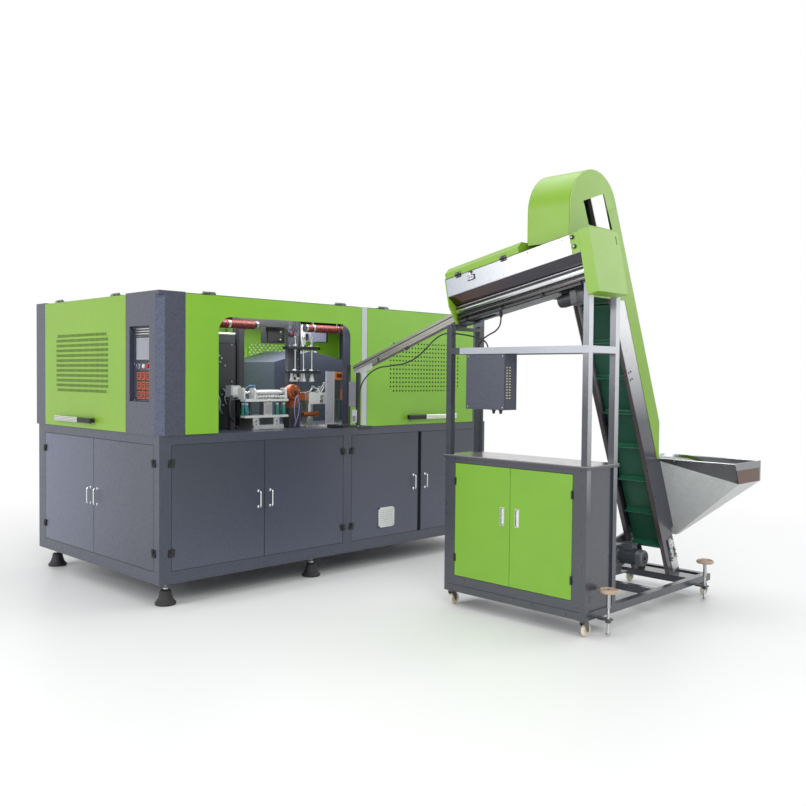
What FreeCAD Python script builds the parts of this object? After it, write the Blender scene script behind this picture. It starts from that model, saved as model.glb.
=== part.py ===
import FreeCAD, Part
import math
import os

# A linear blow moulding machine with its preform feeder, joined by the gravity chute.
# Millimetres, +Z up. The layout is drawn from the machine's front left corner on the floor:
# X runs along the machine's front, Y goes back through it, and the feeder stands in front,
# at negative Y. At the end everything is moved so that the origin is at the middle of the
# whole line's footprint, on the floor.

V = FreeCAD.Vector
X_DIR, Y_DIR, Z_DIR = V(1, 0, 0), V(0, 1, 0), V(0, 0, 1)

# ---------------------------------------------------------------- machine: driving sizes
MACHINE_LENGTH = 3165.0
MACHINE_DEPTH = 1787.0
BASE_UNDERSIDE = 148.0
BED_TOP = 1090.0
BED_THICKNESS = 24.0
ENCLOSURE_TOP = 2000.0
OVERHANG = 12.0            # the enclosure stands this far outside the base
SEAT = 0.3                 # gap left between a piece and what carries it
DOOR_GAP = 3.0
SHEET = 2.5

POST_SIDE = 64.0           # base corner posts, across the short direction
SILL_HEIGHT = 78.0
HEAD_HEIGHT = 34.0
FRONT_POST = 84.0
MIDDLE_POST = 79.0
MIDDLE_POST_X = 1527.0
REAR_POST = 116.0

BASE_DOOR_DEPTH = 18.0
FRONT_SPLIT_LEFT = 807.0
FRONT_SPLIT_RIGHT = 2346.5
WIDE_SPLIT = 39.0          # the open joint of the right-hand pair
END_SPLIT = 883.0
STILE_WIDTH = 56.0

PULL_LENGTH = 120.0
PULL_OFFSET = 48.0         # from the joint between two doors
PULL_HEIGHT = 480.0        # of the pull's middle above the base's underside
PULL_REACH = 32.0
PULL_BAR = 11.0

HINGE_LEAF = 22.0
HINGE_HALF = 24.0
HINGE_PROUD = 15.0
HINGE_GAP = 0.4
HINGE_INSET = 115.0        # hinge middle from the door's top or bottom edge

FOOT_RADIUS = 68.0
FOOT_SHOULDER = 36.0
FOOT_HEIGHT = 70.0
FOOT_RIM = 14.0
FOOT_SIDES = 8
FOOT_PLATE = 10.0
STUD_RADIUS = 10.0
FOOT_INSET_X = 100.0
FOOT_INSET_Y = 95.0
FOOT_MIDDLE_X = 1300.0

# ---------------------------------------------------------------- enclosure
COLUMN_FRONT = 175.0       # grey corner column: width on the front
COLUMN_END = 404.0         # and on the end face
COLUMN_DEPTH = 46.0
CORNER_CHAMFER = 44.0
RECESS_Y = (104.0, 355.0)
RECESS_Z = (1300.0, 1783.0)
RECESS_DEPTH = 38.0
RIGHT_POST = 187.0
REAR_POST_WIDTH = 151.0
STRIP_X = 1692.0
STRIP_WIDTH = 54.0
LIFT_DOOR_DEPTH = 40.0
LIFT_DOOR_TOP_GAP = 8.0
ROOF_SHEET = 3.0
ROOF_RIM = 25.0
HEADER = 40.0
WINDOW_LEFT = 425.0
WINDOW_RIGHT = 1578.0
WINDOW_TOP = 1858.0
WINDOW_RADIUS = 100.0

LIFT_HINGE_RADIUS = 9.0
LIFT_HINGE_LENGTH = 90.0
LIFT_HINGE_INSET = 190.0   # hinge middle from the door's side edge

VENT_HOLE = 34.0
VENT_COLUMNS = 7
VENT_ROWS = 4
VENT_MARGIN = (249.0, 197.0)   # from the vent door's edges
VENT_Z = (1362.0, 1735.0)
END_VENT_Y = (655.0, 1440.0)
END_VENT_Z = (1355.0, 1745.0)
END_VENT_ROWS = 12
END_VENT_SLOT = 12.0
HANDLE_LENGTH = 560.0
HANDLE_HEIGHT = 38.0
HANDLE_BAR = 16.0
HANDLE_REACH = 46.0
HANDLE_RISE = 40.0         # above the door's bottom edge

# ---------------------------------------------------------------- feeder
FEEDER_X = 1411.0          # left face
FEEDER_NEAR = -2200.0
CABINET_WIDTH = 319.0
FRAME_TUBE = 40.0
BASE_TUBE = 45.0
FRAME_UNDERSIDE = 100.0
CABINET_TOP = 980.0
FEEDER_RIGHT = 2950.0
BASE_FAR = -1580.0         # far base beam right of the cabinet
MIDDLE_BEAM_X = 2240.0
FOOT_BEAM_X = 2700.0
MID_RAIL = 1622.0
CAB_DOOR_Z = (207.0, 928.0)
CAB_DOOR_MARGIN = (95.0, 87.0)
CAB_SPLIT_SHIFT = 3.0
CAB_DOOR_DEPTH = 16.0
CAB_PULL_REACH = 14.0

WHEEL_RADIUS = 37.5
WHEEL_WIDTH = 24.0
AXLE_RADIUS = 5.0
RUNNING_FIT = 0.06
CASTER_TRAIL = 22.0
CASTER_PLATE = 4.0

JACK_OUT = 60.0            # screw axis from the beam's face
JACK_SCREW = 8.0
JACK_RISE = 262.0
JACK_CLEAR = 14.0          # foot pad above the floor, with the line on its wheels
HANDWHEEL_RADIUS = 66.0
JACK_X = (1560.0, 2745.0)

# ---------------------------------------------------------------- elevator
LEAN = 23.27               # degrees from upright
ELEVATOR_NEAR = -2030.0
ELEVATOR_FAR = -1740.0
UNDERSIDE_X = 2351.0       # underside edge at UNDERSIDE_Z
UNDERSIDE_Z = 949.0
CHANNEL_DEPTH = 133.0
CHANNEL_FLANGE = 30.0
CHANNEL_WALL = 4.0
CHANNEL_TOP = 2600.0
HOOD_RADIUS = 253.0
HOOD_X = 1698.0
HOOD_Z = 2457.0
COVER_BEND_Z = 1190.0
COVER_BOTTOM_Z = 950.0
HOOD_LEFT_BOTTOM = 2262.0
PLATE_BOTTOM = 1962.0
DRUM_OFFSET = 88.0
DRUM_RADIUS = 33.0
SHAFT_RADIUS = 10.0
BELT_THICKNESS = 4.0
BELT_SIDE_GAP = 6.0
CLEAT_HEIGHT = 38.0
CLEAT_THICKNESS = 6.0
CLEAT_PITCH = 246.0
TAIL_RISE = 352.0          # tail shaft above the floor
HEAD_RISE = 2494.0

# ---------------------------------------------------------------- sorter, drawn level, then tilted
SORTER_TILT = 11.4
SORTER_X = (1384.0, 1690.0)
SORTER_Y = -2130.0         # near end of the side panel's top edge
SORTER_Z = 2299.0
SORTER_LENGTH = 1010.0
PANEL_HEIGHT = 115.0
TROUGH_DROP = 185.0
TROUGH_X = 1458.0
ROLLER_RADIUS = 20.0
ROLLER_X = (1478.0, 1546.0)
ROLLER_DROP = 216.0
BED_DROP = 286.0
ROLLER_SHAFT = 8.0
END_BOX_LENGTH = 75.0
END_BOX_DROP = 362.0
END_PLATE = 10.0
LID_START = 414.0
LID_HEIGHT = 70.0
FRAME_PAST_SORTER = 9.93   # the frame's far face beyond the panels' end
FEEDER_FAR = SORTER_Y + SORTER_LENGTH * math.cos(math.radians(SORTER_TILT)) + FRAME_PAST_SORTER

# ---------------------------------------------------------------- chute
CHUTE_X = (1484.0, 1540.0)
CHUTE_TOP = (FEEDER_FAR - 32, 1909.0)
CHUTE_END = (-140.0, 1549.0)
CHUTE_DEPTH = 58.0
CHUTE_WALL = 4.0
SHELF_OUT = 275.0
SHELF_IN = 70.0            # over the bed, through the window's open bottom
SHELF_Z = 1116.0
STAND_POST = 26.0
CABLE_RADIUS = 5.0

HEX = 6
THIN_SIDES = 8             # flat sides of thin bars
SMALL_SIDES = 12           # and of small turned pieces
WHEEL_SIDES = 14
ROLLER_SIDES = 24
CORD_SIDES = 4


# ---------------------------------------------------------------- shapes
def block(x0, x1, y0, y1, z0, z1):
    return Part.makeBox(x1 - x0, y1 - y0, z1 - z0, V(x0, y0, z0))


def solid_of(faces):
    """One closed solid from flat faces that meet along their edges."""
    shell = Part.Shell(faces)
    shell.sewShape()
    solid = Part.Solid(shell)
    if solid.Volume < 0:
        solid.reverse()
    return solid


def flat_face(points):
    return Part.Face(Part.makePolygon(points + points[:1]))


def turned_form(centre, axis, profile, sides=SMALL_SIDES, hollow=False):
    """A turned piece with flat sides. The profile lists (radius, distance along the axis) pairs.

    The first and last pairs are its ends, or, where it is hollow, neighbours on a closed outline.
    """
    across = {"x": (Y_DIR, Z_DIR, X_DIR), "y": (Z_DIR, X_DIR, Y_DIR), "z": (X_DIR, Y_DIR, Z_DIR)}
    u, v, w = across[axis]
    rings = []
    for radius, along in profile:
        ring = []
        for i in range(sides):
            angle = 2 * math.pi * (i + 0.5) / sides
            ring.append(V(*centre) + u * (radius * math.cos(angle)) + v * (radius * math.sin(angle))
                        + w * along)
        rings.append(ring)
    pairs = list(zip(rings, rings[1:]))
    faces = []
    if hollow:
        pairs.append((rings[-1], rings[0]))
    else:
        faces = [flat_face(rings[0]), flat_face(rings[-1])]
    for low, high in pairs:
        for i in range(sides):
            j = (i + 1) % sides
            faces.append(flat_face([low[i], low[j], high[j], high[i]]))
    return solid_of(faces)


def bar(centre, axis, radius, low, high, sides=SMALL_SIDES):
    """A thin round bar with flat sides, its corners on the stated radius."""
    return turned_form(centre, axis, [(radius, low), (radius, high)], sides)


def bore(centre, axis, radius, low, high, sides=SMALL_SIDES):
    """The hole for a turning bar: the flats, and not the corners, are at the stated radius."""
    return bar(centre, axis, radius / math.cos(math.pi / sides), low, high, sides)


def prism(points, travel):
    wire = Part.makePolygon(points + points[:1])
    return Part.Face(wire).extrude(travel)


def prism_xz(points, y0, y1):
    return prism([V(x, y0, z) for x, z in points], V(0, y1 - y0, 0))


def prism_yz(points, x0, x1):
    return prism([V(x0, y, z) for y, z in points], V(x1 - x0, 0, 0))


def prism_xy(points, z0, z1):
    return prism([V(x, y, z0) for x, y in points], V(0, 0, z1 - z0))


def union(*shapes):
    return shapes[0].fuse(list(shapes[1:])).removeSplitter()


def group(*shapes):
    return Part.makeCompound(list(shapes))


def turned(shape, degrees, centre, axis):
    copy = shape.copy()
    copy.rotate(V(*centre), axis, degrees)
    return copy


def pan(x0, x1, y0, y1, z0, z1, open_side, wall=SHEET):
    """A folded sheet door or cover: a box with its back left open."""
    low = {"+x": (1, 0, 0), "-x": (-1, 0, 0), "+y": (0, 1, 0), "-y": (0, -1, 0), "-z": (0, 0, -1)}
    ax, ay, az = low[open_side]
    inner = block(
        x0 + (wall if ax >= 0 else -wall), x1 - (wall if ax <= 0 else -wall),
        y0 + (wall if ay >= 0 else -wall), y1 - (wall if ay <= 0 else -wall),
        z0 + (wall if az >= 0 else -wall), z1 - wall,
    )
    return block(x0, x1, y0, y1, z0, z1).cut(inner)


def spread(low, high, count):
    """Middles of `count` equal shares of a length."""
    step = (high - low) / count
    return [low + step * (i + 0.5) for i in range(count)]


# ---------------------------------------------------------------- machine base
SILL_TOP = BASE_UNDERSIDE + SILL_HEIGHT
BED_UNDERSIDE = BED_TOP - BED_THICKNESS
HEAD_BOTTOM = BED_UNDERSIDE - HEAD_HEIGHT
RIGHT_POST_X = MACHINE_LENGTH - FRONT_POST
REAR_POST_Y = MACHINE_DEPTH - REAR_POST
MIDDLE_POST_END = MIDDLE_POST_X + MIDDLE_POST
DOOR_BOTTOM = SILL_TOP + DOOR_GAP
DOOR_TOP = HEAD_BOTTOM - DOOR_GAP


def base_frame():
    length, depth = MACHINE_LENGTH, MACHINE_DEPTH
    low, high, top = BASE_UNDERSIDE, HEAD_BOTTOM, BED_UNDERSIDE
    rear = depth - POST_SIDE
    back = BASE_DOOR_DEPTH + 6.0
    posts = [
        block(0, FRONT_POST, 0, POST_SIDE, low, high),
        block(RIGHT_POST_X, length, 0, POST_SIDE, low, high),
        block(0, FRONT_POST, REAR_POST_Y, depth, low, high),
        block(RIGHT_POST_X, length, REAR_POST_Y, depth, low, high),
        block(MIDDLE_POST_X, MIDDLE_POST_END, 0, POST_SIDE, SILL_TOP, high),
        block(MIDDLE_POST_X, MIDDLE_POST_END, rear, depth, SILL_TOP, high),
        block(FRONT_SPLIT_LEFT - STILE_WIDTH / 2, FRONT_SPLIT_LEFT + STILE_WIDTH / 2,
              back, POST_SIDE, SILL_TOP, high),
        block(FRONT_SPLIT_RIGHT - STILE_WIDTH / 2, FRONT_SPLIT_RIGHT + STILE_WIDTH / 2,
              back, POST_SIDE, SILL_TOP, high),
        block(back, POST_SIDE, END_SPLIT - STILE_WIDTH / 2, END_SPLIT + STILE_WIDTH / 2,
              SILL_TOP, high),
    ]
    sills = [
        block(FRONT_POST, RIGHT_POST_X, 0, POST_SIDE, low, SILL_TOP),
        block(FRONT_POST, RIGHT_POST_X, rear, depth, low, SILL_TOP),
        block(0, POST_SIDE, POST_SIDE, REAR_POST_Y, low, SILL_TOP),
        block(length - POST_SIDE, length, POST_SIDE, REAR_POST_Y, low, SILL_TOP),
    ]
    heads = [
        block(0, length, 0, POST_SIDE, high, top),
        block(0, length, rear, depth, high, top),
        block(0, POST_SIDE, POST_SIDE, rear, high, top),
        block(length - POST_SIDE, length, POST_SIDE, rear, high, top),
    ]
    skin = 3.0
    panels = [
        block(FRONT_POST, MIDDLE_POST_X, depth - skin, depth, SILL_TOP, high),
        block(MIDDLE_POST_END, RIGHT_POST_X, depth - skin, depth, SILL_TOP, high),
        block(length - skin, length, POST_SIDE, REAR_POST_Y, SILL_TOP, high),
        block(POST_SIDE, length - POST_SIDE, POST_SIDE, rear, SILL_TOP - skin, SILL_TOP),
    ]
    foot_plates = []
    for x, y in foot_places():
        y0, y1 = (POST_SIDE, y + 40) if y < depth / 2 else (y - 40, rear)
        foot_plates.append(block(x - 40, x + 40, y0, y1, low, low + FOOT_PLATE))
    bed = block(0, length, 0, depth, BED_UNDERSIDE, BED_TOP)
    return group(bed, *(posts + sills + heads + panels + foot_plates))


def front_pull(x):
    """A vertical C-shaped pull on a front door."""
    middle = BASE_UNDERSIDE + PULL_HEIGHT
    low, high = middle - PULL_LENGTH / 2, middle + PULL_LENGTH / 2
    side = PULL_BAR / 2
    grip = block(x - side, x + side, -PULL_REACH, -PULL_REACH + PULL_BAR, low, high)
    feet = [block(x - side, x + side, -PULL_REACH, 0, z, z + PULL_BAR)
            for z in (low, high - PULL_BAR)]
    return union(grip, *feet)


def end_pull(y):
    """The same pull on an end door, which faces -X."""
    pull = turned(front_pull(0), -90, (0, 0, 0), Z_DIR)
    pull.translate(V(0, y, 0))
    return pull


def hinge_heights(low, high):
    return [low + HINGE_INSET, high - HINGE_INSET]


def front_hinge_halves(x, side, low, high, upper):
    """Half blocks of a front door's hinges. side is +1 where the leaf lies to +X of the pin."""
    halves = []
    for z in hinge_heights(low, high):
        z0 = z + HINGE_GAP / 2 if upper else z - HINGE_GAP / 2 - HINGE_HALF
        x0, x1 = sorted((x, x + side * HINGE_LEAF))
        halves.append(block(x0, x1, -HINGE_PROUD, 0, z0, z0 + HINGE_HALF))
    return halves


def end_hinge_halves(y, side, low, high, upper, face):
    """The same on a face that looks along -X."""
    halves = []
    for z in hinge_heights(low, high):
        z0 = z + HINGE_GAP / 2 if upper else z - HINGE_GAP / 2 - HINGE_HALF
        y0, y1 = sorted((y, y + side * HINGE_LEAF))
        halves.append(block(face - HINGE_PROUD, face, y0, y1, z0, z0 + HINGE_HALF))
    return halves


# Front base doors: hinge line, free edge and the side on which the door lies.
FRONT_DOORS = {
    "base_door_front_1": (FRONT_POST + DOOR_GAP, FRONT_SPLIT_LEFT - DOOR_GAP / 2),
    "base_door_front_2": (MIDDLE_POST_X - DOOR_GAP, FRONT_SPLIT_LEFT + DOOR_GAP / 2),
    "base_door_front_3": (MIDDLE_POST_END + DOOR_GAP, FRONT_SPLIT_RIGHT - WIDE_SPLIT / 2),
    "base_door_front_4": (RIGHT_POST_X - DOOR_GAP, FRONT_SPLIT_RIGHT + WIDE_SPLIT / 2),
}
END_DOORS = {
    "base_door_end_near": (POST_SIDE + DOOR_GAP, END_SPLIT - DOOR_GAP / 2),
    "base_door_end_far": (REAR_POST_Y - DOOR_GAP, END_SPLIT + DOOR_GAP / 2),
}
LOUVRE_X = (1891.0, 2058.0)
LOUVRE_Z = (299.0, 453.0)
LOUVRE_SLATS = 6


def front_base_door(name):
    hinge, free = FRONT_DOORS[name]
    x0, x1 = min(hinge, free), max(hinge, free)
    side = 1 if free > hinge else -1
    leaf = pan(x0, x1, 0, BASE_DOOR_DEPTH, DOOR_BOTTOM, DOOR_TOP, "+y")
    if name == "base_door_front_3":
        rim = 12.0
        leaf = leaf.cut(block(LOUVRE_X[0] + rim, LOUVRE_X[1] - rim, -1, SHEET + 1,
                              LOUVRE_Z[0] + rim, LOUVRE_Z[1] - rim))
        leaves = [louvre_grille()]
    else:
        leaves = []
    leaves += front_hinge_halves(hinge, side, DOOR_BOTTOM, DOOR_TOP, True)
    return group(leaf, front_pull(free - side * PULL_OFFSET), *leaves)


def end_base_door(name):
    hinge, free = END_DOORS[name]
    y0, y1 = min(hinge, free), max(hinge, free)
    side = 1 if free > hinge else -1
    leaf = pan(0, BASE_DOOR_DEPTH, y0, y1, DOOR_BOTTOM, DOOR_TOP, "+x")
    leaves = end_hinge_halves(hinge, side, DOOR_BOTTOM, DOOR_TOP, True, 0)
    return group(leaf, end_pull(free - side * PULL_OFFSET), *leaves)


def louvre_grille():
    """A white air grille over a hole in the third front door, with sloped slats."""
    x0, x1 = LOUVRE_X
    z0, z1 = LOUVRE_Z
    rim, depth = 12.0, 9.0
    frame = block(x0, x1, -depth, 0, z0, z1).cut(
        block(x0 + rim, x1 - rim, -depth - 1, 1, z0 + rim, z1 - rim))
    slats = []
    reach = 0.45 * (z1 - z0 - 2 * rim) / LOUVRE_SLATS
    for z in spread(z0 + rim, z1 - rim, LOUVRE_SLATS):
        profile = [(-depth, z - reach), (-depth, z - reach + 2), (-1, z + reach), (-1, z + reach - 2)]
        slats.append(prism_yz(profile, x0 + rim, x1 - rim))
    return union(frame, *slats)


def base_hinges():
    halves = []
    for hinge, free in FRONT_DOORS.values():
        side = 1 if free > hinge else -1
        halves += front_hinge_halves(hinge - side * SEAT, -side, DOOR_BOTTOM, DOOR_TOP, False)
    for hinge, free in END_DOORS.values():
        side = 1 if free > hinge else -1
        halves += end_hinge_halves(hinge - side * SEAT, -side, DOOR_BOTTOM, DOOR_TOP, False, 0)
    return halves


def foot_places():
    return [(x, y) for x in (FOOT_INSET_X, FOOT_MIDDLE_X, MACHINE_LENGTH - FOOT_INSET_X)
            for y in (FOOT_INSET_Y, MACHINE_DEPTH - FOOT_INSET_Y)]


def machine_feet():
    """Conical levelling pads with their studs."""
    feet = []
    profile = [(FOOT_RADIUS, 0), (FOOT_RADIUS, FOOT_RIM), (FOOT_RADIUS - 6, FOOT_RIM),
               (FOOT_SHOULDER, FOOT_HEIGHT)]
    for x, y in foot_places():
        feet.append(turned_form((x, y, 0), "z", profile, FOOT_SIDES))
        feet.append(bar((x, y, 0), "z", STUD_RADIUS, FOOT_HEIGHT, BASE_UNDERSIDE, HEX))
    return group(*feet)


# ---------------------------------------------------------------- upper enclosure
WEST, EAST = -OVERHANG, MACHINE_LENGTH + OVERHANG
SOUTH, NORTH = -OVERHANG, MACHINE_DEPTH + OVERHANG
SHELL_BOTTOM = BED_TOP + DOOR_GAP
LIFT_TOP = ENCLOSURE_TOP - LIFT_DOOR_TOP_GAP
DOOR_BACK = SOUTH + LIFT_DOOR_DEPTH
EAST_COLUMN = EAST - RIGHT_POST
STRIP_END = STRIP_X + STRIP_WIDTH
ROOF_FRONT = DOOR_BACK + 8.0
HINGE_LINE_Z = ENCLOSURE_TOP + LIFT_HINGE_RADIUS - 1.0
HINGE_LINE_IN = 30.0       # hinge pins from the enclosure's outer faces
REAR_POST_FRONT = NORTH - REAR_POST_WIDTH


def corner_outline(front, end, depth, chamfer):
    """Plan of a corner column with its corner cut at 45 degrees, from the corner (0, 0)."""
    inner = depth - chamfer * (1 - math.tan(math.radians(22.5))) / 2
    return [(front, 0), (front, depth), (depth + inner / 4, depth), (depth, depth + inner / 4),
            (depth, end), (0, end), (0, chamfer), (chamfer, 0)]


def control_column():
    points = [(WEST + x, SOUTH + y) for x, y in
              corner_outline(COLUMN_FRONT - WEST, COLUMN_END - SOUTH, COLUMN_DEPTH, CORNER_CHAMFER)]
    column = prism_xy(points, BED_TOP + SEAT, ENCLOSURE_TOP - ROOF_RIM - SEAT)
    back = WEST + RECESS_DEPTH
    recess = block(WEST - 1, back, RECESS_Y[0], RECESS_Y[1], RECESS_Z[0], RECESS_Z[1])
    pockets = [bore((back, y, BUTTON_Z), "x", STEM_RADIUS + 1, -1, BUTTON_POCKET, THIN_SIDES)
               for y in (ESTOP_Y, START_Y)]
    return column.cut([recess] + pockets)


def enclosure_frame():
    top = ENCLOSURE_TOP - ROOF_RIM - SEAT
    bottom = BED_TOP + SEAT
    right = prism_xy([(EAST, SOUTH + CORNER_CHAMFER), (EAST, SOUTH + RIGHT_POST),
                      (EAST - 40, SOUTH + RIGHT_POST), (EAST - 40, SOUTH + 60),
                      (EAST - 60, SOUTH + 40), (EAST_COLUMN, SOUTH + 40), (EAST_COLUMN, SOUTH),
                      (EAST - CORNER_CHAMFER, SOUTH)], bottom, top)
    rear_left = block(WEST, WEST + REAR_POST_WIDTH, REAR_POST_FRONT, NORTH, bottom, top)
    rear_right = block(EAST - REAR_POST_WIDTH, EAST, REAR_POST_FRONT, NORTH, bottom, top)
    edge_beam = block(WEST + LIFT_DOOR_DEPTH + 8, WEST + LIFT_DOOR_DEPTH + 8 + HEADER,
                      COLUMN_END, REAR_POST_FRONT,
                      ENCLOSURE_TOP - ROOF_RIM - HEADER, ENCLOSURE_TOP - ROOF_SHEET)
    header = block(COLUMN_FRONT, EAST_COLUMN, ROOF_FRONT + ROOF_SHEET, ROOF_FRONT + HEADER,
                   ENCLOSURE_TOP - ROOF_RIM - HEADER, ENCLOSURE_TOP - ROOF_SHEET)
    middle = block(STRIP_X - 70, STRIP_END, ROOF_FRONT + ROOF_SHEET, ROOF_FRONT + 90, bottom,
                   ENCLOSURE_TOP - ROOF_RIM - HEADER)
    caps = [block(COLUMN_FRONT, EAST_COLUMN, DOOR_BACK + SEAT, ROOF_FRONT,
                  ENCLOSURE_TOP - 3, ENCLOSURE_TOP)]
    corner_caps = [
        block(WEST, COLUMN_FRONT, SOUTH, ROOF_FRONT, ENCLOSURE_TOP - ROOF_RIM, ENCLOSURE_TOP),
        block(EAST_COLUMN, EAST, SOUTH, ROOF_FRONT, ENCLOSURE_TOP - ROOF_RIM, ENCLOSURE_TOP),
    ]
    end_cap = block(WEST + LIFT_DOOR_DEPTH + SEAT, WEST + LIFT_DOOR_DEPTH + 8, COLUMN_END,
                    REAR_POST_FRONT, ENCLOSURE_TOP - 3, ENCLOSURE_TOP)
    silver_strip = union(block(STRIP_X, STRIP_END, SOUTH, ROOF_FRONT, bottom, ENCLOSURE_TOP - 3),
                         block(STRIP_X, STRIP_END, ROOF_FRONT, ROOF_FRONT + ROOF_SHEET, bottom, top))
    return group(right, rear_left, rear_right, edge_beam, header, middle, end_cap, silver_strip,
                 *(caps + corner_caps))


def roof_sheet():
    """Sheet with a turned-down rim, cut back over the end lift door."""
    roof = pan(WEST, EAST, ROOF_FRONT, NORTH, ENCLOSURE_TOP - ROOF_RIM, ENCLOSURE_TOP, "-z", ROOF_SHEET)
    notch = block(WEST - 1, WEST + LIFT_DOOR_DEPTH + 8, COLUMN_END, REAR_POST_FRONT,
                  ENCLOSURE_TOP - ROOF_RIM - 1, ENCLOSURE_TOP + 1)
    return roof.cut(notch)


def vent_holes(y0, y1, columns, rows, hole):
    holes = []
    for x in spread(VENT_X[0], VENT_X[1], columns):
        for z in spread(VENT_Z[0], VENT_Z[1], rows):
            holes.append(block(x - hole[0] / 2, x + hole[0] / 2, y0, y1,
                               z - hole[1] / 2, z + hole[1] / 2))
    return holes


def enclosure_panels():
    """Fixed green sheets: two at the back, one at the right end."""
    top = ENCLOSURE_TOP - ROOF_RIM - SEAT
    x0, x1 = WEST + REAR_POST_WIDTH, EAST - REAR_POST_WIDTH
    rear_left = pan(x0 + SEAT, STRIP_X, NORTH - 20, NORTH, BED_TOP + SEAT, top, "-y")
    rear_right = pan(STRIP_X + DOOR_GAP, x1 - SEAT, NORTH - 20, NORTH, BED_TOP + SEAT, top, "-y")
    rear_right = rear_right.cut(vent_holes(NORTH - 30, NORTH + 1, 1, 6, (VENT_X[1] - VENT_X[0] - 92, 14.0)))
    right = pan(EAST - 20, EAST, SOUTH + RIGHT_POST + SEAT, REAR_POST_FRONT - SEAT,
                BED_TOP + SEAT, top, "-x")
    return group(rear_left, rear_right, right)


def lift_hinge_halves(low, high, moving):
    """Barrel halves along the top of a front lift door."""
    halves = []
    for x in (low + LIFT_HINGE_INSET, high - LIFT_HINGE_INSET):
        x0 = x + HINGE_GAP / 2 if moving else x - HINGE_GAP / 2 - LIFT_HINGE_LENGTH / 2
        x1 = x0 + LIFT_HINGE_LENGTH / 2
        y, z, r = SOUTH + HINGE_LINE_IN, HINGE_LINE_Z, LIFT_HINGE_RADIUS
        ring = [(y + r * math.cos(math.radians(a)), z + r * math.sin(math.radians(a)))
                for a in range(30, 390, 60)]
        barrel = prism_yz(ring, x0, x1)
        if moving:
            leaf = block(x0, x1, SOUTH + LIFT_DOOR_DEPTH / 2 - 6, SOUTH + LIFT_DOOR_DEPTH / 2 + 4,
                         LIFT_TOP, HINGE_LINE_Z)
        else:
            leaf = block(x0, x1, y, y + 34, ENCLOSURE_TOP, ENCLOSURE_TOP + 3)
        halves.append(union(barrel, leaf))
    return halves


def end_lift_hinge_halves(low, high, moving):
    """The same for the end lift door, whose pins run along Y."""
    halves = lift_hinge_halves(low, high, moving)
    out = []
    for half in halves:
        half = turned(half, -90, (0, 0, 0), Z_DIR)
        half.translate(V(WEST - SOUTH, low + high, 0))
        out.append(half)
    return out


WINDOW_DOOR_X = (COLUMN_FRONT + DOOR_GAP, STRIP_X - DOOR_GAP)
VENT_DOOR_X = (STRIP_END + DOOR_GAP, EAST_COLUMN - DOOR_GAP)
VENT_X = (VENT_DOOR_X[0] + VENT_MARGIN[0], VENT_DOOR_X[1] - VENT_MARGIN[1])
END_DOOR_Y = (COLUMN_END + DOOR_GAP, REAR_POST_FRONT - DOOR_GAP)


def arch(x0, x1, z0, z1, radius, y0, y1):
    """An open-bottomed opening with rounded top corners."""
    solid = block(x0, x1, y0, y1, z0, z1)
    corners = [e for e in solid.Edges
               if abs(e.Vertexes[0].Z - z1) < 0.01 and abs(e.Vertexes[1].Z - z1) < 0.01
               and abs(e.Vertexes[0].X - e.Vertexes[1].X) < 0.01]
    return solid.makeFillet(radius, corners)


def window_door():
    x0, x1 = WINDOW_DOOR_X
    leaf = pan(x0, x1, SOUTH, DOOR_BACK, SHELL_BOTTOM, LIFT_TOP, "+y")
    hole = arch(WINDOW_LEFT, WINDOW_RIGHT, SHELL_BOTTOM - 1, WINDOW_TOP, WINDOW_RADIUS,
                SOUTH - 1, DOOR_BACK + 1)
    leaf = leaf.cut(hole)
    return group(leaf, *lift_hinge_halves(x0, x1, True))


def front_handle(middle):
    """A long bar handle along the bottom of a lift door, with a black grip at one end."""
    z0 = SHELL_BOTTOM + HANDLE_RISE
    half = HANDLE_LENGTH / 2
    bar = block(middle - half, middle + half, SOUTH - HANDLE_REACH, SOUTH - HANDLE_REACH + HANDLE_BAR,
                z0, z0 + HANDLE_HEIGHT)
    bar = bar.makeChamfer(4, [e for e in bar.Edges if abs(e.Vertexes[0].X - e.Vertexes[1].X) > 1])
    feet = [block(x, x + 30, SOUTH - HANDLE_REACH + HANDLE_BAR / 2, SOUTH,
                  z0 + 6, z0 + HANDLE_HEIGHT - 6)
            for x in (middle - half + 20, middle + half - 50)]
    return union(bar, *feet)


def vent_door():
    x0, x1 = VENT_DOOR_X
    leaf = pan(x0, x1, SOUTH, DOOR_BACK, SHELL_BOTTOM, LIFT_TOP, "+y")
    leaf = leaf.cut(vent_holes(SOUTH - 1, SOUTH + SHEET + 1, VENT_COLUMNS, VENT_ROWS,
                               (VENT_HOLE, VENT_HOLE)))
    return group(leaf, front_handle((VENT_X[0] + VENT_X[1]) / 2 + 60), *lift_hinge_halves(x0, x1, True))


def end_door():
    y0, y1 = END_DOOR_Y
    leaf = pan(WEST, WEST + LIFT_DOOR_DEPTH, y0, y1, SHELL_BOTTOM, LIFT_TOP, "+x")
    slots = []
    for z in spread(END_VENT_Z[0], END_VENT_Z[1], END_VENT_ROWS):
        slots.append(block(WEST - 1, WEST + SHEET + 1, END_VENT_Y[0], END_VENT_Y[1],
                           z - END_VENT_SLOT / 2, z + END_VENT_SLOT / 2))
    leaf = leaf.cut(slots)
    handle = turned(front_handle(0), -90, (0, 0, 0), Z_DIR)
    handle.translate(V(WEST - SOUTH, (END_VENT_Y[0] + END_VENT_Y[1]) / 2 + 60, 0))
    return group(leaf, handle, *end_lift_hinge_halves(y0, y1, True))


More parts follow.
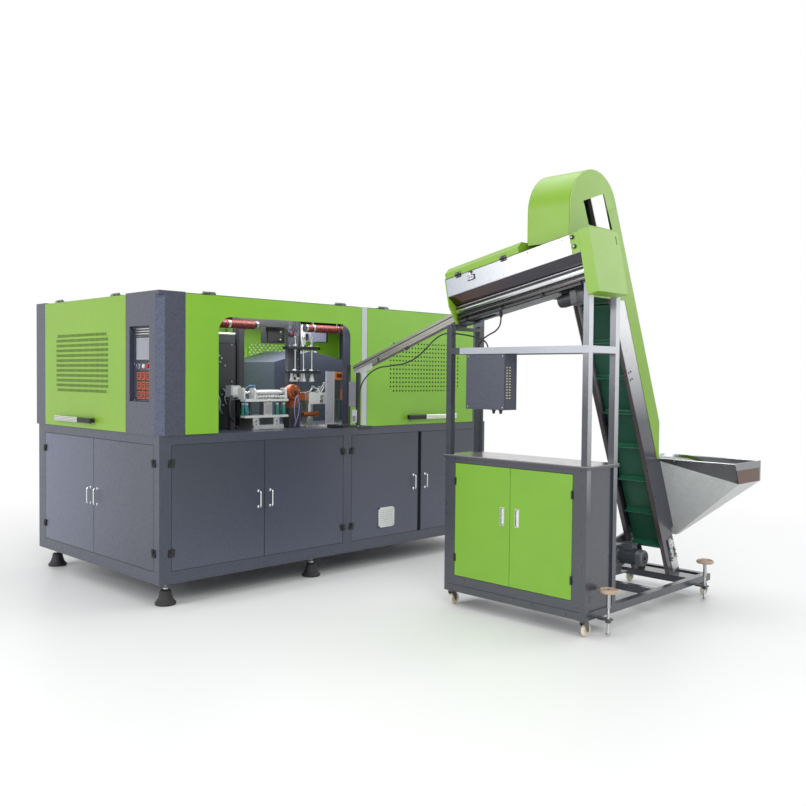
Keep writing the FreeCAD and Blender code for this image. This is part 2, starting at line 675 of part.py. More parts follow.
def door_hinges():
    """All fixed hinge halves: black blocks on the base, barrels on the roof's edges, feeder blocks."""
    halves = base_hinges()
    halves += lift_hinge_halves(*WINDOW_DOOR_X, False)
    halves += lift_hinge_halves(*VENT_DOOR_X, False)
    halves += end_lift_hinge_halves(*END_DOOR_Y, False)
    for hinge, free in CABINET_DOORS.values():
        side = 1 if free > hinge else -1
        halves += end_hinge_halves(hinge - side * SEAT, -side, CAB_DOOR_Z[0], CAB_DOOR_Z[1], False,
                                   FEEDER_X)
    return group(*halves)


# ---------------------------------------------------------------- control recess
PANEL_FACE = WEST + RECESS_DEPTH - 4.0
SCREEN_Z = (1565.0, 1722.0)
SCREEN_Y = (130.0, 330.0)
BUTTON_Z = 1528.0
GRID_Z = (1318.0, 1496.0)
GRID_Y = (128.0, 332.0)
ESTOP_Y = 165.0
START_Y = 232.0
SELECTOR_Y = 298.0
BUTTON_RADIUS = 11.0
MUSHROOM_RADIUS = 17.0
PANEL_PLATE = 4.0
STEM_RADIUS = 6.0
BUTTON_POCKET = 7.0        # room behind the plate for a pressed button's stem


def control_panel():
    """The instrument plate at the bottom of the recess, with a slotted vent at its top."""
    gap = SEAT
    plate = block(PANEL_FACE, PANEL_FACE + PANEL_PLATE - gap, RECESS_Y[0] + gap, RECESS_Y[1] - gap,
                  RECESS_Z[0] + gap, RECESS_Z[1] - gap)
    bars = [block(PANEL_FACE - 3, PANEL_FACE, RECESS_Y[0] + 30, RECESS_Y[1] - 30, z - 3, z + 3)
            for z in spread(SCREEN_Z[1] + 10, RECESS_Z[1] - 8, 3)]
    bores = [bore((PANEL_FACE, y, BUTTON_Z), "x", STEM_RADIUS + RUNNING_FIT, -5, 10, THIN_SIDES)
             for y in (ESTOP_Y, START_Y, SELECTOR_Y)]
    return group(union(plate, *bars).cut(bores), *panel_instruments())


def panel_instruments():
    """The touch screen and three rows of temperature controllers, seated on the plate."""
    proud = 14.0
    y0, y1 = SCREEN_Y
    z0, z1 = SCREEN_Z
    screen = block(PANEL_FACE - proud, PANEL_FACE, y0, y1, z0, z1)
    glass = block(PANEL_FACE - proud - 1, PANEL_FACE - proud + 2, y0 + 18, y1 - 18, z0 + 16, z1 - 16)
    meters = []
    width, height, proud = 54.0, 48.0, 10.0
    for y in spread(GRID_Y[0], GRID_Y[1], 3):
        for z in spread(GRID_Z[0], GRID_Z[1], 3):
            meters.append(block(PANEL_FACE - proud, PANEL_FACE, y - width / 2, y + width / 2,
                                z - height / 2, z + height / 2))
    return [screen.cut(glass)] + meters


def push_button(y, head_radius, head, proud, dome=0.0):
    """A head on a stem that slides through the plate."""
    profile = [(head_radius - dome, -proud - head), (head_radius, -proud - head + dome),
               (head_radius, -proud), (STEM_RADIUS, -proud), (STEM_RADIUS, PANEL_PLATE - 1)]
    if not dome:
        profile = profile[1:]
    return turned_form((PANEL_FACE, y, BUTTON_Z), "x", profile)


def mode_selector():
    knob = push_button(SELECTOR_Y, 13.0, 6.0, 0.5)
    grip = block(PANEL_FACE - 15, PANEL_FACE - 6.5, SELECTOR_Y - 4, SELECTOR_Y + 4,
                 BUTTON_Z - 12, BUTTON_Z + 12)
    return union(knob, grip)


# ---------------------------------------------------------------- inside the window
CLAMP_X = (470.0, 800.0)
CLAMP_Y = (350.0, 1500.0)
CLAMP_TOP = 1760.0
MAST_X = (1270.0, 1390.0)
MAST_Y = (380.0, 480.0)
ROD_X = (1325.0, 1405.0, 1487.0)
ROD_Y = 330.0
ROD_RADIUS = 7.0
ROD_TOP = 1770.0
ROD_BOTTOM = 1512.0
CROSS_Z = (1672.0, 1694.0)
NOZZLE_PLATE_Z = (1490.0, 1511.0)
NOZZLE_TIP = 1430.0
TABLE_X = (750.0, 1130.0)
TABLE_Y = (150.0, 345.0)
TABLE_LOW_Z = 1176.0
TABLE_HIGH_Z = 1290.0
TABLE_PLATE = 16.0
PILLAR_RADIUS = 17.0
HOSE_Z = 1826.0
HOSE_Y = 175.0
HOSE_RADIUS = 30.0
HOSE_X = (440.0, 860.0)
HOSE_RIBS = 8
HOSE_SIDES = 8
HOSE_WALL = 3.0


def oven_cover():
    """The heater tunnel's closed cover, with a shallow pitched top."""
    eaves, ridge = 1585.0, 1683.0
    left, right, front, back = 1560.0, 2440.0, 900.0, 1560.0
    profile = [(left, BED_TOP + SEAT), (right, BED_TOP + SEAT), (right, eaves),
               ((left + right) / 2 - 60, ridge), (left, eaves)]
    return prism_xz(profile, front, back)


def clamp_unit():
    """The mould clamp's housing at the left, the portal and the mast with its blow nozzles."""
    housing = block(CLAMP_X[0], CLAMP_X[1], CLAMP_Y[0], CLAMP_Y[1], BED_TOP + SEAT, CLAMP_TOP)
    post = block(CLAMP_X[1] + 20, CLAMP_X[1] + 80, CLAMP_Y[0], CLAMP_Y[0] + 60, BED_TOP + SEAT, 1830)
    mast = block(MAST_X[0], MAST_X[1], MAST_Y[0], MAST_Y[1], BED_TOP + SEAT, 1905)
    nozzle_plate = block(MAST_X[0], 1550, 300, MAST_Y[0], NOZZLE_PLATE_Z[0], NOZZLE_PLATE_Z[1])
    holes = [bore((x, ROD_Y, 0), "z", ROD_RADIUS + RUNNING_FIT, 1480, 1520, THIN_SIDES) for x in ROD_X]
    portal = block(CLAMP_X[1] + 20, MAST_X[0], CLAMP_Y[0], CLAMP_Y[0] + 60, 1832, 1900)
    drive = block(1090, MAST_X[0], 420, 480, 1715, 1831)
    arm = block(MAST_X[1], MAST_X[1] + 100, 420, 470, 1760, 1800)
    servo = block(MAST_X[1] + 100, MAST_X[1] + 280, 400, 500, 1738, 1828)
    top, inner = NOZZLE_PLATE_Z[0], ROD_RADIUS + 1.5
    flare = [(21, NOZZLE_TIP), (10, top), (inner, top), (inner, NOZZLE_TIP)]
    nozzles = [turned_form((x, ROD_Y, 0), "z", flare, THIN_SIDES, hollow=True) for x in ROD_X]
    hose_low = HOSE_Z - HOSE_RADIUS * math.cos(math.pi / HOSE_SIDES) - SEAT
    clip_x = HOSE_X[0] + (HOSE_X[1] - HOSE_X[0]) * 3.5 / HOSE_RIBS
    clip = [block(clip_x - 12, clip_x + 12, HOSE_Y - 8, CLAMP_Y[0], CLAMP_TOP - 20, CLAMP_TOP - 12),
            block(clip_x - 12, clip_x + 12, HOSE_Y - 8, HOSE_Y + 8, CLAMP_TOP - 12, hose_low)]
    return group(housing, post, mast, nozzle_plate.cut(holes), portal, drive, arm, servo, *(clip + nozzles))


def stretch_carriage():
    """The cross plate with the three stretch rods, which slide through the nozzle plate."""
    cross = block(1245, 1545, 300, MAST_Y[0] - 1, CROSS_Z[0], CROSS_Z[1])
    rods = [bar((x, ROD_Y, 0), "z", ROD_RADIUS, ROD_BOTTOM - 30, ROD_TOP, THIN_SIDES) for x in ROD_X]
    return union(cross, *rods)


def transfer_table():
    """Two pale plates on feet with four pillars between them, a cylinder on top and a side rack."""
    x0, x1 = TABLE_X
    y0, y1 = TABLE_Y
    low = block(x0, x1, y0, y1, TABLE_LOW_Z, TABLE_LOW_Z + TABLE_PLATE)
    high = block(x0, x1, y0, y1, TABLE_HIGH_Z, TABLE_HIGH_Z + TABLE_PLATE)
    feet = [block(x, x + 60, y0 + 10, y1 - 10, BED_TOP + SEAT, TABLE_LOW_Z) for x in (x0 + 70, x1 - 130)]
    ears = [block(x, x + 14, y0 + 20, y0 + 90, TABLE_HIGH_Z + TABLE_PLATE, TABLE_HIGH_Z + 96)
            for x in (x0, x0 + 92, x1 - 16)]
    ram = bar((0, y0 + 55, TABLE_HIGH_Z + 62), "x", 22, x0 + 106, x1 - 16, SMALL_SIDES)
    spots = [(x, y) for x in (x0 + 28, x1 - 60) for y in (y0 + 24, y1 - 30)]
    pillars = [bar((x, y, 0), "z", PILLAR_RADIUS, TABLE_LOW_Z + TABLE_PLATE, TABLE_HIGH_Z,
                   THIN_SIDES) for x, y in spots]
    side_plate = block(1480, 1568, 150, 162, BED_TOP + SEAT, 1508)
    tray = block(1310, 1470, 190, 330, 1262, 1345)
    tray_foot = block(1360, 1420, 230, 290, BED_TOP + SEAT, 1262)
    return group(low, high, ram, side_plate, tray, tray_foot, *(feet + ears + pillars + copper_blocks()))


def copper_blocks():
    """The turning head between the table and the mast, and the heater block beside the chute."""
    low = block(1190, 1290, 215, 300, BED_TOP + SEAT, 1240)
    disc = bar((1240, 0, 1330), "y", 78, 215, 300, ROLLER_SIDES)
    neck = block(1215, 1265, 225, 290, 1240, 1300)
    heater = block(1600, 1672, 170, 260, 1290, 1500)
    heater_foot = block(1610, 1650, 180, 250, BED_TOP + SEAT, 1290)
    return [union(low, neck, disc), union(heater, heater_foot)]


def air_hose():
    """A red corrugated air hose along the top of the window, with its bore."""
    x0, x1 = HOSE_X
    pitch = (x1 - x0) / HOSE_RIBS
    low, high = HOSE_RADIUS - 6, HOSE_RADIUS
    profile = []
    for i in range(HOSE_RIBS):
        x = x0 + i * pitch
        profile += [(low, x), (high, x + pitch * 0.3), (high, x + pitch * 0.7)]
    profile += [(low, x1), (low - HOSE_WALL, x1), (low - HOSE_WALL, x0)]
    return turned_form((0, HOSE_Y, HOSE_Z), "x", profile, HOSE_SIDES, hollow=True)


# ---------------------------------------------------------------- feeder frame and cabinet
CABINET_RIGHT = FEEDER_X + CABINET_WIDTH
BASE_TOP = FRAME_UNDERSIDE + BASE_TUBE


def sorter_room():
    """The space that the tilted sorter takes, to trim what stands under it."""
    x0, x1 = SORTER_X[0] - 60, SORTER_X[1] + 60
    end = block(x0, x1, -END_BOX_LENGTH - 60, SEAT, -END_BOX_DROP - SEAT, 300)
    bed = block(x0, x1, 0, SORTER_LENGTH + 200, -BED_DROP - SEAT, 300)
    return tilted(union(end, bed))


def caster_plates():
    return [block(x - 32, x + 32, y - 21, y + 21, SWIVEL_TOP, FRAME_UNDERSIDE) for x, y in CASTERS.values()]


def jack_brackets():
    """Nut plates welded to the near base beam."""
    plates = []
    for x in JACK_X:
        arm = block(x - 22, x + 22, JACK_Y - 20, FEEDER_NEAR, FRAME_UNDERSIDE - 6, FRAME_UNDERSIDE + 4)
        nut = block(x - 13, x + 13, JACK_Y - 13, JACK_Y + 13, FRAME_UNDERSIDE - 18, FRAME_UNDERSIDE - 6)
        hole = bore((x, JACK_Y, 0), "z", JACK_SCREW + RUNNING_FIT, 0, 200, THIN_SIDES)
        plates.append(union(arm, nut).cut(hole))
    return plates


def feeder_frame():
    """Square tube: a base with four posts, two levels of rails and the sorter's seats."""
    t, x0, x1 = FRAME_TUBE, FEEDER_X, CABINET_RIGHT
    near, far, low = FEEDER_NEAR, FEEDER_FAR, BASE_TOP
    room = sorter_room()
    posts = [block(x, x + t, y, y + t, low, SORTER_Z).cut(room)
             for x in (x0, x1 - t) for y in (near, far - t)]
    rails = [block(x0, x0 + t, near + t, far - t, MID_RAIL, MID_RAIL + t),
             block(x1 - t, x1, near + t, far - t, MID_RAIL, MID_RAIL + t),
             block(x0 + t, x1 - t, near, near + t, MID_RAIL, MID_RAIL + t),
             block(x0 + t, x1 - t, far - t, far, MID_RAIL, MID_RAIL + t)]
    b = BASE_TUBE
    z0, z1 = FRAME_UNDERSIDE, BASE_TOP
    base = [block(x0, FEEDER_RIGHT, near, near + b, z0, z1),
            block(x0, x0 + b, near + b, far - b, z0, z1),
            block(x0, x1, far - b, far, z0, z1),
            block(x1 - b, x1, near + b, far - b, z0, z1),
            block(x1, FEEDER_RIGHT, BASE_FAR - b, BASE_FAR, z0, z1),
            block(MIDDLE_BEAM_X, MIDDLE_BEAM_X + b, near + b, BASE_FAR - b, z0, z1),
            block(FOOT_BEAM_X, FOOT_BEAM_X + 130, near + b, BASE_FAR - b, z0, z1),
            block(FEEDER_RIGHT - b, FEEDER_RIGHT, near + b, BASE_FAR - b, z0, z1)]
    seats = []
    for y0, y1, s0, s1 in ((near + t - 22, near + t, 1, 60), (far - t, far, SORTER_LENGTH - 80, SORTER_LENGTH + 30)):
        top = SORTER_Z - BED_DROP - (y1 - SORTER_Y) * math.tan(math.radians(SORTER_TILT))
        rail = block(x0 + t, x1 - t, y0, y1, top - 36, top - 14)
        plate = tilted(block(ROLLER_X[0] - 20, ROLLER_X[1] + 20, s0, s1, -BED_DROP - SEAT - 6, -BED_DROP - SEAT))
        web = block(ROLLER_X[0] - 20, ROLLER_X[1] + 20, y0 + 4, y1 - 4, top - 14, top + 20).cut(room)
        seats.append(union(rail, web, plate))
    return group(*(posts + rails + base + seats + caster_plates() + jack_brackets()))


CAB_DOOR_Y = (FEEDER_NEAR + CAB_DOOR_MARGIN[0], FEEDER_FAR - CAB_DOOR_MARGIN[1])
CAB_SPLIT = (CAB_DOOR_Y[0] + CAB_DOOR_Y[1]) / 2 + CAB_SPLIT_SHIFT
CABINET_DOORS = {
    "cabinet_door_near": (CAB_DOOR_Y[0], CAB_SPLIT - DOOR_GAP / 2),
    "cabinet_door_far": (CAB_DOOR_Y[1], CAB_SPLIT + DOOR_GAP / 2),
}


def feeder_cabinet():
    """Sheet panels between the posts, a top that overhangs them and a face frame for the doors."""
    t, x0, x1 = FRAME_TUBE, FEEDER_X, CABINET_RIGHT
    near, far = FEEDER_NEAR, FEEDER_FAR
    skin = 2.0
    z0, z1 = BASE_TOP, CABINET_TOP - 20
    inset = 12.0
    side = block(x0 + t, x1 - t, near + inset, near + inset + skin, z0, z1)
    far_side = block(x0 + t, x1 - t, far - inset - skin, far - inset, z0, z1)
    back = block(x1 - inset - skin, x1 - inset, near + t, far - t, z0, z1)
    floor = block(x0 + t, x1 - t, near + t, far - t, z0, z0 + skin)
    y0, y1 = CAB_DOOR_Y
    d0, d1 = CAB_DOOR_Z
    face = [block(x0, x0 + CAB_DOOR_DEPTH + 4, near + t, far - t, z0 + skin, d0 - DOOR_GAP),
            block(x0, x0 + CAB_DOOR_DEPTH + 4, near + t, far - t, d1 + DOOR_GAP, z1),
            block(x0, x0 + CAB_DOOR_DEPTH + 4, near + t, y0 - DOOR_GAP, d0 - DOOR_GAP, d1 + DOOR_GAP),
            block(x0, x0 + CAB_DOOR_DEPTH + 4, y1 + DOOR_GAP, far - t, d0 - DOOR_GAP, d1 + DOOR_GAP)]
    top = block(x0 - 8, x1 + 8, near - 8, far + 8, CABINET_TOP - 20, CABINET_TOP)
    notch = SEAT
    for cx0 in (x0, x1 - t):
        for cy0 in (near, far - t):
            top = top.cut(block(cx0 - notch, cx0 + t + notch, cy0 - notch, cy0 + t + notch,
                                CABINET_TOP - 30, CABINET_TOP + 10))
    return group(side, far_side, back, floor, top, *face)


def cabinet_door(name):
    hinge, free = CABINET_DOORS[name]
    y0, y1 = min(hinge, free), max(hinge, free)
    side = 1 if free > hinge else -1
    leaf = pan(FEEDER_X, FEEDER_X + CAB_DOOR_DEPTH, y0, y1, CAB_DOOR_Z[0], CAB_DOOR_Z[1], "+x")
    middle = (CAB_DOOR_Z[0] + CAB_DOOR_Z[1]) / 2 + 20
    py = free - side * 55
    pull = block(FEEDER_X - CAB_PULL_REACH, FEEDER_X, py - 14, py + 14, middle - 62, middle + 62)
    cup = block(FEEDER_X - CAB_PULL_REACH - 1, FEEDER_X - 4, py - 8, py + 8, middle - 50, middle + 50)
    bar = block(FEEDER_X - CAB_PULL_REACH, FEEDER_X - 4, py - 3, py + 3, middle - 50, middle + 50)
    pull = union(pull.cut(cup), bar)
    leaves = end_hinge_halves(hinge, side, CAB_DOOR_Z[0], CAB_DOOR_Z[1], True, FEEDER_X)
    return group(leaf, pull, *leaves)


RIM_Z = 950.0
HOPPER_X = (2540.0, 2918.0)
HOPPER_NEAR = -2545.0
HOPPER_FLOOR = 818.0       # floor height at the near end
HOPPER_FOOT_Z = 412.0
HOPPER_SHEET = 2.5
HOPPER_HEEL = 45.0
HOPPER_KNEE = ELEVATOR_NEAR - 4.0
HOPPER_FAR = ELEVATOR_FAR + 1.0
RIM_BAND = 22.0


TERMINAL_Y = (FEEDER_FAR - 470, FEEDER_FAR - 160)
TERMINAL_HEIGHT = 345.0
TERMINAL_DEPTH = 120.0


def terminal_box():
    """The electrical box that hangs under the left middle rail, with two cable glands."""
    y0, y1 = TERMINAL_Y
    z1 = MID_RAIL
    z0 = z1 - TERMINAL_HEIGHT
    case = block(FEEDER_X + 6, FEEDER_X + 6 + TERMINAL_DEPTH, y0, y1, z0, z1)
    glands = [bar((FEEDER_X + 60, y, z0), "z", 9, -26, 0, THIN_SIDES) for y in (y0 + 70, y0 + 125)]
    return group(case, *glands)


# ---------------------------------------------------------------- casters and jacks
CASTERS = {
    1: (FEEDER_X + 38, FEEDER_NEAR + 32),
    2: (FEEDER_X + 38, FEEDER_FAR - 32),
    3: (FEEDER_RIGHT - 62, FEEDER_NEAR + 24),
    4: (FEEDER_RIGHT - 62, BASE_FAR - 24),
}
SWIVEL_TOP = FRAME_UNDERSIDE - CASTER_PLATE
CROWN_TOP = SWIVEL_TOP - SEAT
CROWN_BOTTOM = 2 * WHEEL_RADIUS + 2.5


def caster_fork(number):
    x, y = CASTERS[number]
    inner = WHEEL_WIDTH / 2 + 1.5
    outer = inner + 3
    crown = block(x - 22, x + 30, y - outer, y + outer, CROWN_BOTTOM, CROWN_TOP)
    legs = [prism_xz([(x - 10, CROWN_BOTTOM), (x + 30, CROWN_BOTTOM), (x + CASTER_TRAIL + 9, WHEEL_RADIUS - 9),
                      (x + CASTER_TRAIL - 9, WHEEL_RADIUS - 9)], ya, yb)
            for ya, yb in ((y - outer, y - inner), (y + inner, y + outer))]
    axle = bar((x + CASTER_TRAIL, y, WHEEL_RADIUS), "y", AXLE_RADIUS, -inner, inner, THIN_SIDES)
    return group(union(crown, *legs), axle)


def caster_wheel(number):
    x, y = CASTERS[number]
    half = WHEEL_WIDTH / 2
    hole = (AXLE_RADIUS + RUNNING_FIT) / math.cos(math.pi / WHEEL_SIDES)
    profile = [(WHEEL_RADIUS, -half), (WHEEL_RADIUS, half), (hole, half), (hole, -half)]
    return turned_form((x + CASTER_TRAIL, y, WHEEL_RADIUS), "y", profile, WHEEL_SIDES, hollow=True)


JACK_Y = FEEDER_NEAR - JACK_OUT


def jack_screw(number):
    """A long screw with a pad below."""
    centre = (JACK_X[number - 1], JACK_Y, 0)
    z = JACK_RISE
    return turned_form(centre, "z", [(15, JACK_CLEAR), (15, JACK_CLEAR + 8), (JACK_SCREW, JACK_CLEAR + 8),
                                      (JACK_SCREW, z)], THIN_SIDES)


def handwheel(number):
    """The dished handwheel that turns the screw."""
    centre = (JACK_X[number - 1], JACK_Y, JACK_RISE + SEAT)
    r = HANDWHEEL_RADIUS
    return turned_form(centre, "z", [(18, 0), (r - 8, -4), (r, 4), (r - 7, 13), (18, 9)], WHEEL_SIDES)


# ---------------------------------------------------------------- elevator, drawn upright, then leaned
COS_LEAN = math.cos(math.radians(LEAN))
SIN_LEAN = math.sin(math.radians(LEAN))
TAN_LEAN = math.tan(math.radians(LEAN))
FLOOR_X = UNDERSIDE_X + UNDERSIDE_Z * TAN_LEAN


def leaned(shape):
    """From the upright drawing (X = offset from the underside line, Z = along it) to its place."""
    out = turned(shape, -LEAN, (0, 0, 0), Y_DIR)
    out.translate(V(FLOOR_X, 0, 0))
    return out


def lean_point(offset, height):
    """X and Z of the point at that offset from the underside line, level with `height`."""
    along = (height - offset * SIN_LEAN) / COS_LEAN
    return FLOOR_X + offset * COS_LEAN - along * SIN_LEAN, height


TAIL_X, TAIL_Z = lean_point(DRUM_OFFSET, TAIL_RISE)


def along_of(offset, height):
    return (height - offset * SIN_LEAN) / COS_LEAN


TAIL_ALONG = along_of(DRUM_OFFSET, TAIL_RISE)
HEAD_ALONG = along_of(DRUM_OFFSET, HEAD_RISE)
COVER_NEAR = ELEVATOR_NEAR - SHEET - SEAT
COVER_FAR = ELEVATOR_FAR + SHEET + SEAT


def elevator_frame():
    """Two folded channels, open towards each other, with cross ties and the hopper's seats."""
    length = (CHANNEL_TOP - CHANNEL_DEPTH * SIN_LEAN) / COS_LEAN
    wall, flange, depth = CHANNEL_WALL, CHANNEL_FLANGE, CHANNEL_DEPTH
    near = block(0, depth, ELEVATOR_NEAR, ELEVATOR_NEAR + flange, 0, length)
    near = near.cut(block(wall, depth - wall, ELEVATOR_NEAR + wall, ELEVATOR_NEAR + flange + 1, -1, length + 1))
    far = block(0, depth, ELEVATOR_FAR - flange, ELEVATOR_FAR, 0, length)
    far = far.cut(block(wall, depth - wall, ELEVATOR_FAR - flange - 1, ELEVATOR_FAR - wall, -1, length + 1))
    pieces = []
    for channel in (near, far):
        for along in (TAIL_ALONG, HEAD_ALONG):
            channel = channel.cut(bore((DRUM_OFFSET, 0, along), "y", SHAFT_RADIUS + RUNNING_FIT,
                                       ELEVATOR_NEAR - 5, ELEVATOR_FAR + 5, THIN_SIDES))
        pieces.append(channel)
    ties = [block(DRUM_OFFSET - 14, DRUM_OFFSET + 14, ELEVATOR_NEAR + wall, ELEVATOR_FAR - wall,
                  along, along + 10) for along in (TAIL_ALONG + 700, TAIL_ALONG + 1500)]
    outer = (HOPPER_X[0] - lean_point(0, RIM_Z)[0]) * COS_LEAN - SEAT
    low, high = along_of(outer, HOPPER_FOOT_Z + 60), along_of(depth, COVER_BOTTOM_Z - 10)
    seats = [block(depth, outer, y, y + flange - 8, low, high)
             for y in (ELEVATOR_NEAR + wall, ELEVATOR_FAR - wall - flange + 8)]
    floor_cut = block(0, 5000, -3000, 0, -500, BASE_TOP)
    return group(*[leaned(p).cut(floor_cut) for p in pieces + ties + seats])


def cover_line(height, offset=0.0):
    """X on the cover's outer line at a height; offset moves it inwards."""
    x = HOOD_X + HOOD_RADIUS * COS_LEAN
    z = HOOD_Z + HOOD_RADIUS * SIN_LEAN
    return x + (z - height) * TAN_LEAN - offset / COS_LEAN


SEAM_Z = 2523.0
SEAM_X = cover_line(SEAM_Z)
NOTCH_X = 1700.0
NOTCH_Z = SEAM_Z - (SEAM_X - NOTCH_X) * TAN_LEAN
HOOD_FLATS = 14            # flats that make the round top


def hood_solid(inset, y0, y1):
    """The hood's outline as a solid, drawn in by `inset` where it has walls."""
    r = HOOD_RADIUS - inset
    first, last = math.pi, math.radians(LEAN)
    round_top = []
    for i in range(HOOD_FLATS + 1):
        angle = first + (last - first) * i / HOOD_FLATS
        round_top.append((HOOD_X + r * math.cos(angle), HOOD_Z + r * math.sin(angle)))
    step_x, step_z = SORTER_X[1] - 6, HOOD_LEFT_BOTTOM + 24
    rest = [(cover_line(SEAM_Z, inset), SEAM_Z), (NOTCH_X, NOTCH_Z), (NOTCH_X, step_z), (step_x, step_z),
            (step_x, HOOD_LEFT_BOTTOM), (HOOD_X - r, HOOD_LEFT_BOTTOM)]
    return prism_xz(round_top + rest, y0, y1)


def head_window():
    """The opening in the near side of the head, through hood and cover."""
    return prism_xz([(1584, 2513), (1801, 2587), (1902, 2381), (1643, 2380)],
                    COVER_NEAR - 1, COVER_NEAR + SHEET + 0.5)


def elevator_hood():
    """The round-topped head cover, open below, with an outlet window in its near side."""
    wall = SHEET
    near, far = COVER_NEAR + wall, COVER_FAR - wall
    outer = hood_solid(0, COVER_NEAR, COVER_FAR)
    inner = hood_solid(wall, near, far)
    below = block(HOOD_X - HOOD_RADIUS + wall, NOTCH_X + 1, near, far, HOOD_LEFT_BOTTOM - 1, HOOD_Z - 60)
    seam_cut = prism_xz([(NOTCH_X - 5, NOTCH_Z - 40), (SEAM_X - wall * 2, SEAM_Z - 40 - wall * TAN_LEAN),
                         (SEAM_X - wall * 2, SEAM_Z + 4), (NOTCH_X - 5, NOTCH_Z + 4)], near, far)
    return outer.cut([inner, below, seam_cut, head_window()])


def cover_outline(inset):
    edge = CHANNEL_DEPTH + SEAT
    inner_top = lean_point(edge, PLATE_BOTTOM)
    inner_low = lean_point(edge, COVER_BOTTOM_Z)
    bend_x = cover_line(COVER_BEND_Z, inset)
    return [(cover_line(SEAM_Z - 1, inset), SEAM_Z - 1), (cover_line(PLATE_BOTTOM, inset), PLATE_BOTTOM),
            (bend_x, COVER_BEND_Z), (bend_x, COVER_BOTTOM_Z), inner_low, inner_top,
            (NOTCH_X + 1, PLATE_BOTTOM), (NOTCH_X + 1, NOTCH_Z - 1)]


def elevator_cover():
    """The cover down the elevator's loading side, with side plates that box in the drive."""
    wall = SHEET
    near, far = COVER_NEAR, COVER_FAR
    outer = prism_xz(cover_outline(0), near, far)
    points = cover_outline(wall)
    low = [(x - 60, z) for x, z in points[4:6]]
    inner = prism_xz(points[:3] + [(points[3][0], COVER_BOTTOM_Z - 10), (low[0][0], COVER_BOTTOM_Z - 10),
                                   low[1], (NOTCH_X - 5, PLATE_BOTTOM - 5), (NOTCH_X - 5, NOTCH_Z)],
                     near + wall, far - wall)
    top = prism_xz([(points[0][0], SEAM_Z + 5), (points[1][0] - 40, PLATE_BOTTOM), (NOTCH_X - 5, NOTCH_Z + 20)],
                   near + wall, far - wall)
    return outer.cut([inner, top, head_window()])


def elevator_belt():
    """A flat belt loop round both drums, with upright cleats on its outside."""
    y0 = ELEVATOR_NEAR + CHANNEL_FLANGE + BELT_SIDE_GAP
    y1 = ELEVATOR_FAR - CHANNEL_FLANGE - BELT_SIDE_GAP
    r0 = DRUM_RADIUS + SEAT
    r1 = r0 + BELT_THICKNESS

    def loop(r):
        """The outline round both drums, its bends in flats that follow the drums."""
        points = []
        for centre, first in ((HEAD_ALONG, 0), (TAIL_ALONG, 180)):
            for i in range(SMALL_SIDES + 1):
                angle = math.radians(first + 180 * i / SMALL_SIDES)
                points.append((DRUM_OFFSET + r * math.cos(angle), centre + r * math.sin(angle)))
        return prism_xz(points, y0, y1)

    belt = loop(r1).cut(loop(r0))
    cleats = []
    count = int((HEAD_ALONG - TAIL_ALONG) / CLEAT_PITCH) + 1
    for i in range(count):
        along = TAIL_ALONG + 20 + i * CLEAT_PITCH
        for side in (-1, 1):
            x0, x1 = sorted((DRUM_OFFSET + side * r1, DRUM_OFFSET + side * (r1 + CLEAT_HEIGHT)))
            cleats.append(block(x0, x1, y0, y1, along, along + CLEAT_THICKNESS))
    return leaned(group(belt, *cleats))


def drum(height):
    """A roller with its shaft through both channels."""
    along = along_of(DRUM_OFFSET, height)
    y0 = ELEVATOR_NEAR + CHANNEL_FLANGE + 2
    y1 = ELEVATOR_FAR - CHANNEL_FLANGE - 2
    body = bar((DRUM_OFFSET, 0, along), "y", DRUM_RADIUS, y0, y1, ROLLER_SIDES)
    shaft = bar((DRUM_OFFSET, 0, along), "y", SHAFT_RADIUS, ELEVATOR_NEAR, ELEVATOR_FAR, THIN_SIDES)
    return leaned(union(body, shaft))


MOTOR_X = 2450.0
MOTOR_Z = 283.0
MOTOR_RADIUS = 54.0


def gearmotor():
    """The drive under the belt: motor, worm box, foot and chain case to the tail shaft."""
    box_y = (ELEVATOR_FAR - 60.0, ELEVATOR_FAR + 40.0)
    motor = turned_form((MOTOR_X, ELEVATOR_NEAR, MOTOR_Z), "y",
                        [(MOTOR_RADIUS - 8, 48), (MOTOR_RADIUS, 56), (MOTOR_RADIUS, box_y[0] - ELEVATOR_NEAR)],
                        ROLLER_SIDES)
    worm = block(MOTOR_X - 62, MOTOR_X + 58, box_y[0], box_y[1], MOTOR_Z - 78, MOTOR_Z + 70)
    y0, y1 = box_y[0] + 10, box_y[1] - 10
    foot = prism_xy([(MIDDLE_BEAM_X - 20, y0), (FOOT_BEAM_X - 12, y0), (FOOT_BEAM_X - 12, ELEVATOR_FAR + 2),
                     (FOOT_BEAM_X + 40, ELEVATOR_FAR + 2), (FOOT_BEAM_X + 40, y1), (MIDDLE_BEAM_X - 20, y1)],
                    BASE_TOP, BASE_TOP + 8)
    pedestal = block(MOTOR_X - 40, MOTOR_X + 40, box_y[0] + 15, box_y[1] - 15, BASE_TOP + 8, MOTOR_Z - 78)
    return group(union(motor, worm, foot, pedestal), chain_case())


def chain_case():
    """A flat closed case over the chain from the worm box to the tail shaft."""
    y0, y1 = ELEVATOR_FAR + 40.5, ELEVATOR_FAR + 62.0
    points = [(MOTOR_X - 50, MOTOR_Z - 50), (TAIL_X + 30, TAIL_Z - 55), (TAIL_X + 52, TAIL_Z - 10),
              (TAIL_X + 20, TAIL_Z + 48), (MOTOR_X - 20, MOTOR_Z + 52), (MOTOR_X - 50, MOTOR_Z + 30)]
    case = prism_xz(points, y0, y1)
    boss = bar((TAIL_X, 0, TAIL_Z), "y", 24, ELEVATOR_FAR + 1.0, y0)
    return union(case, boss)


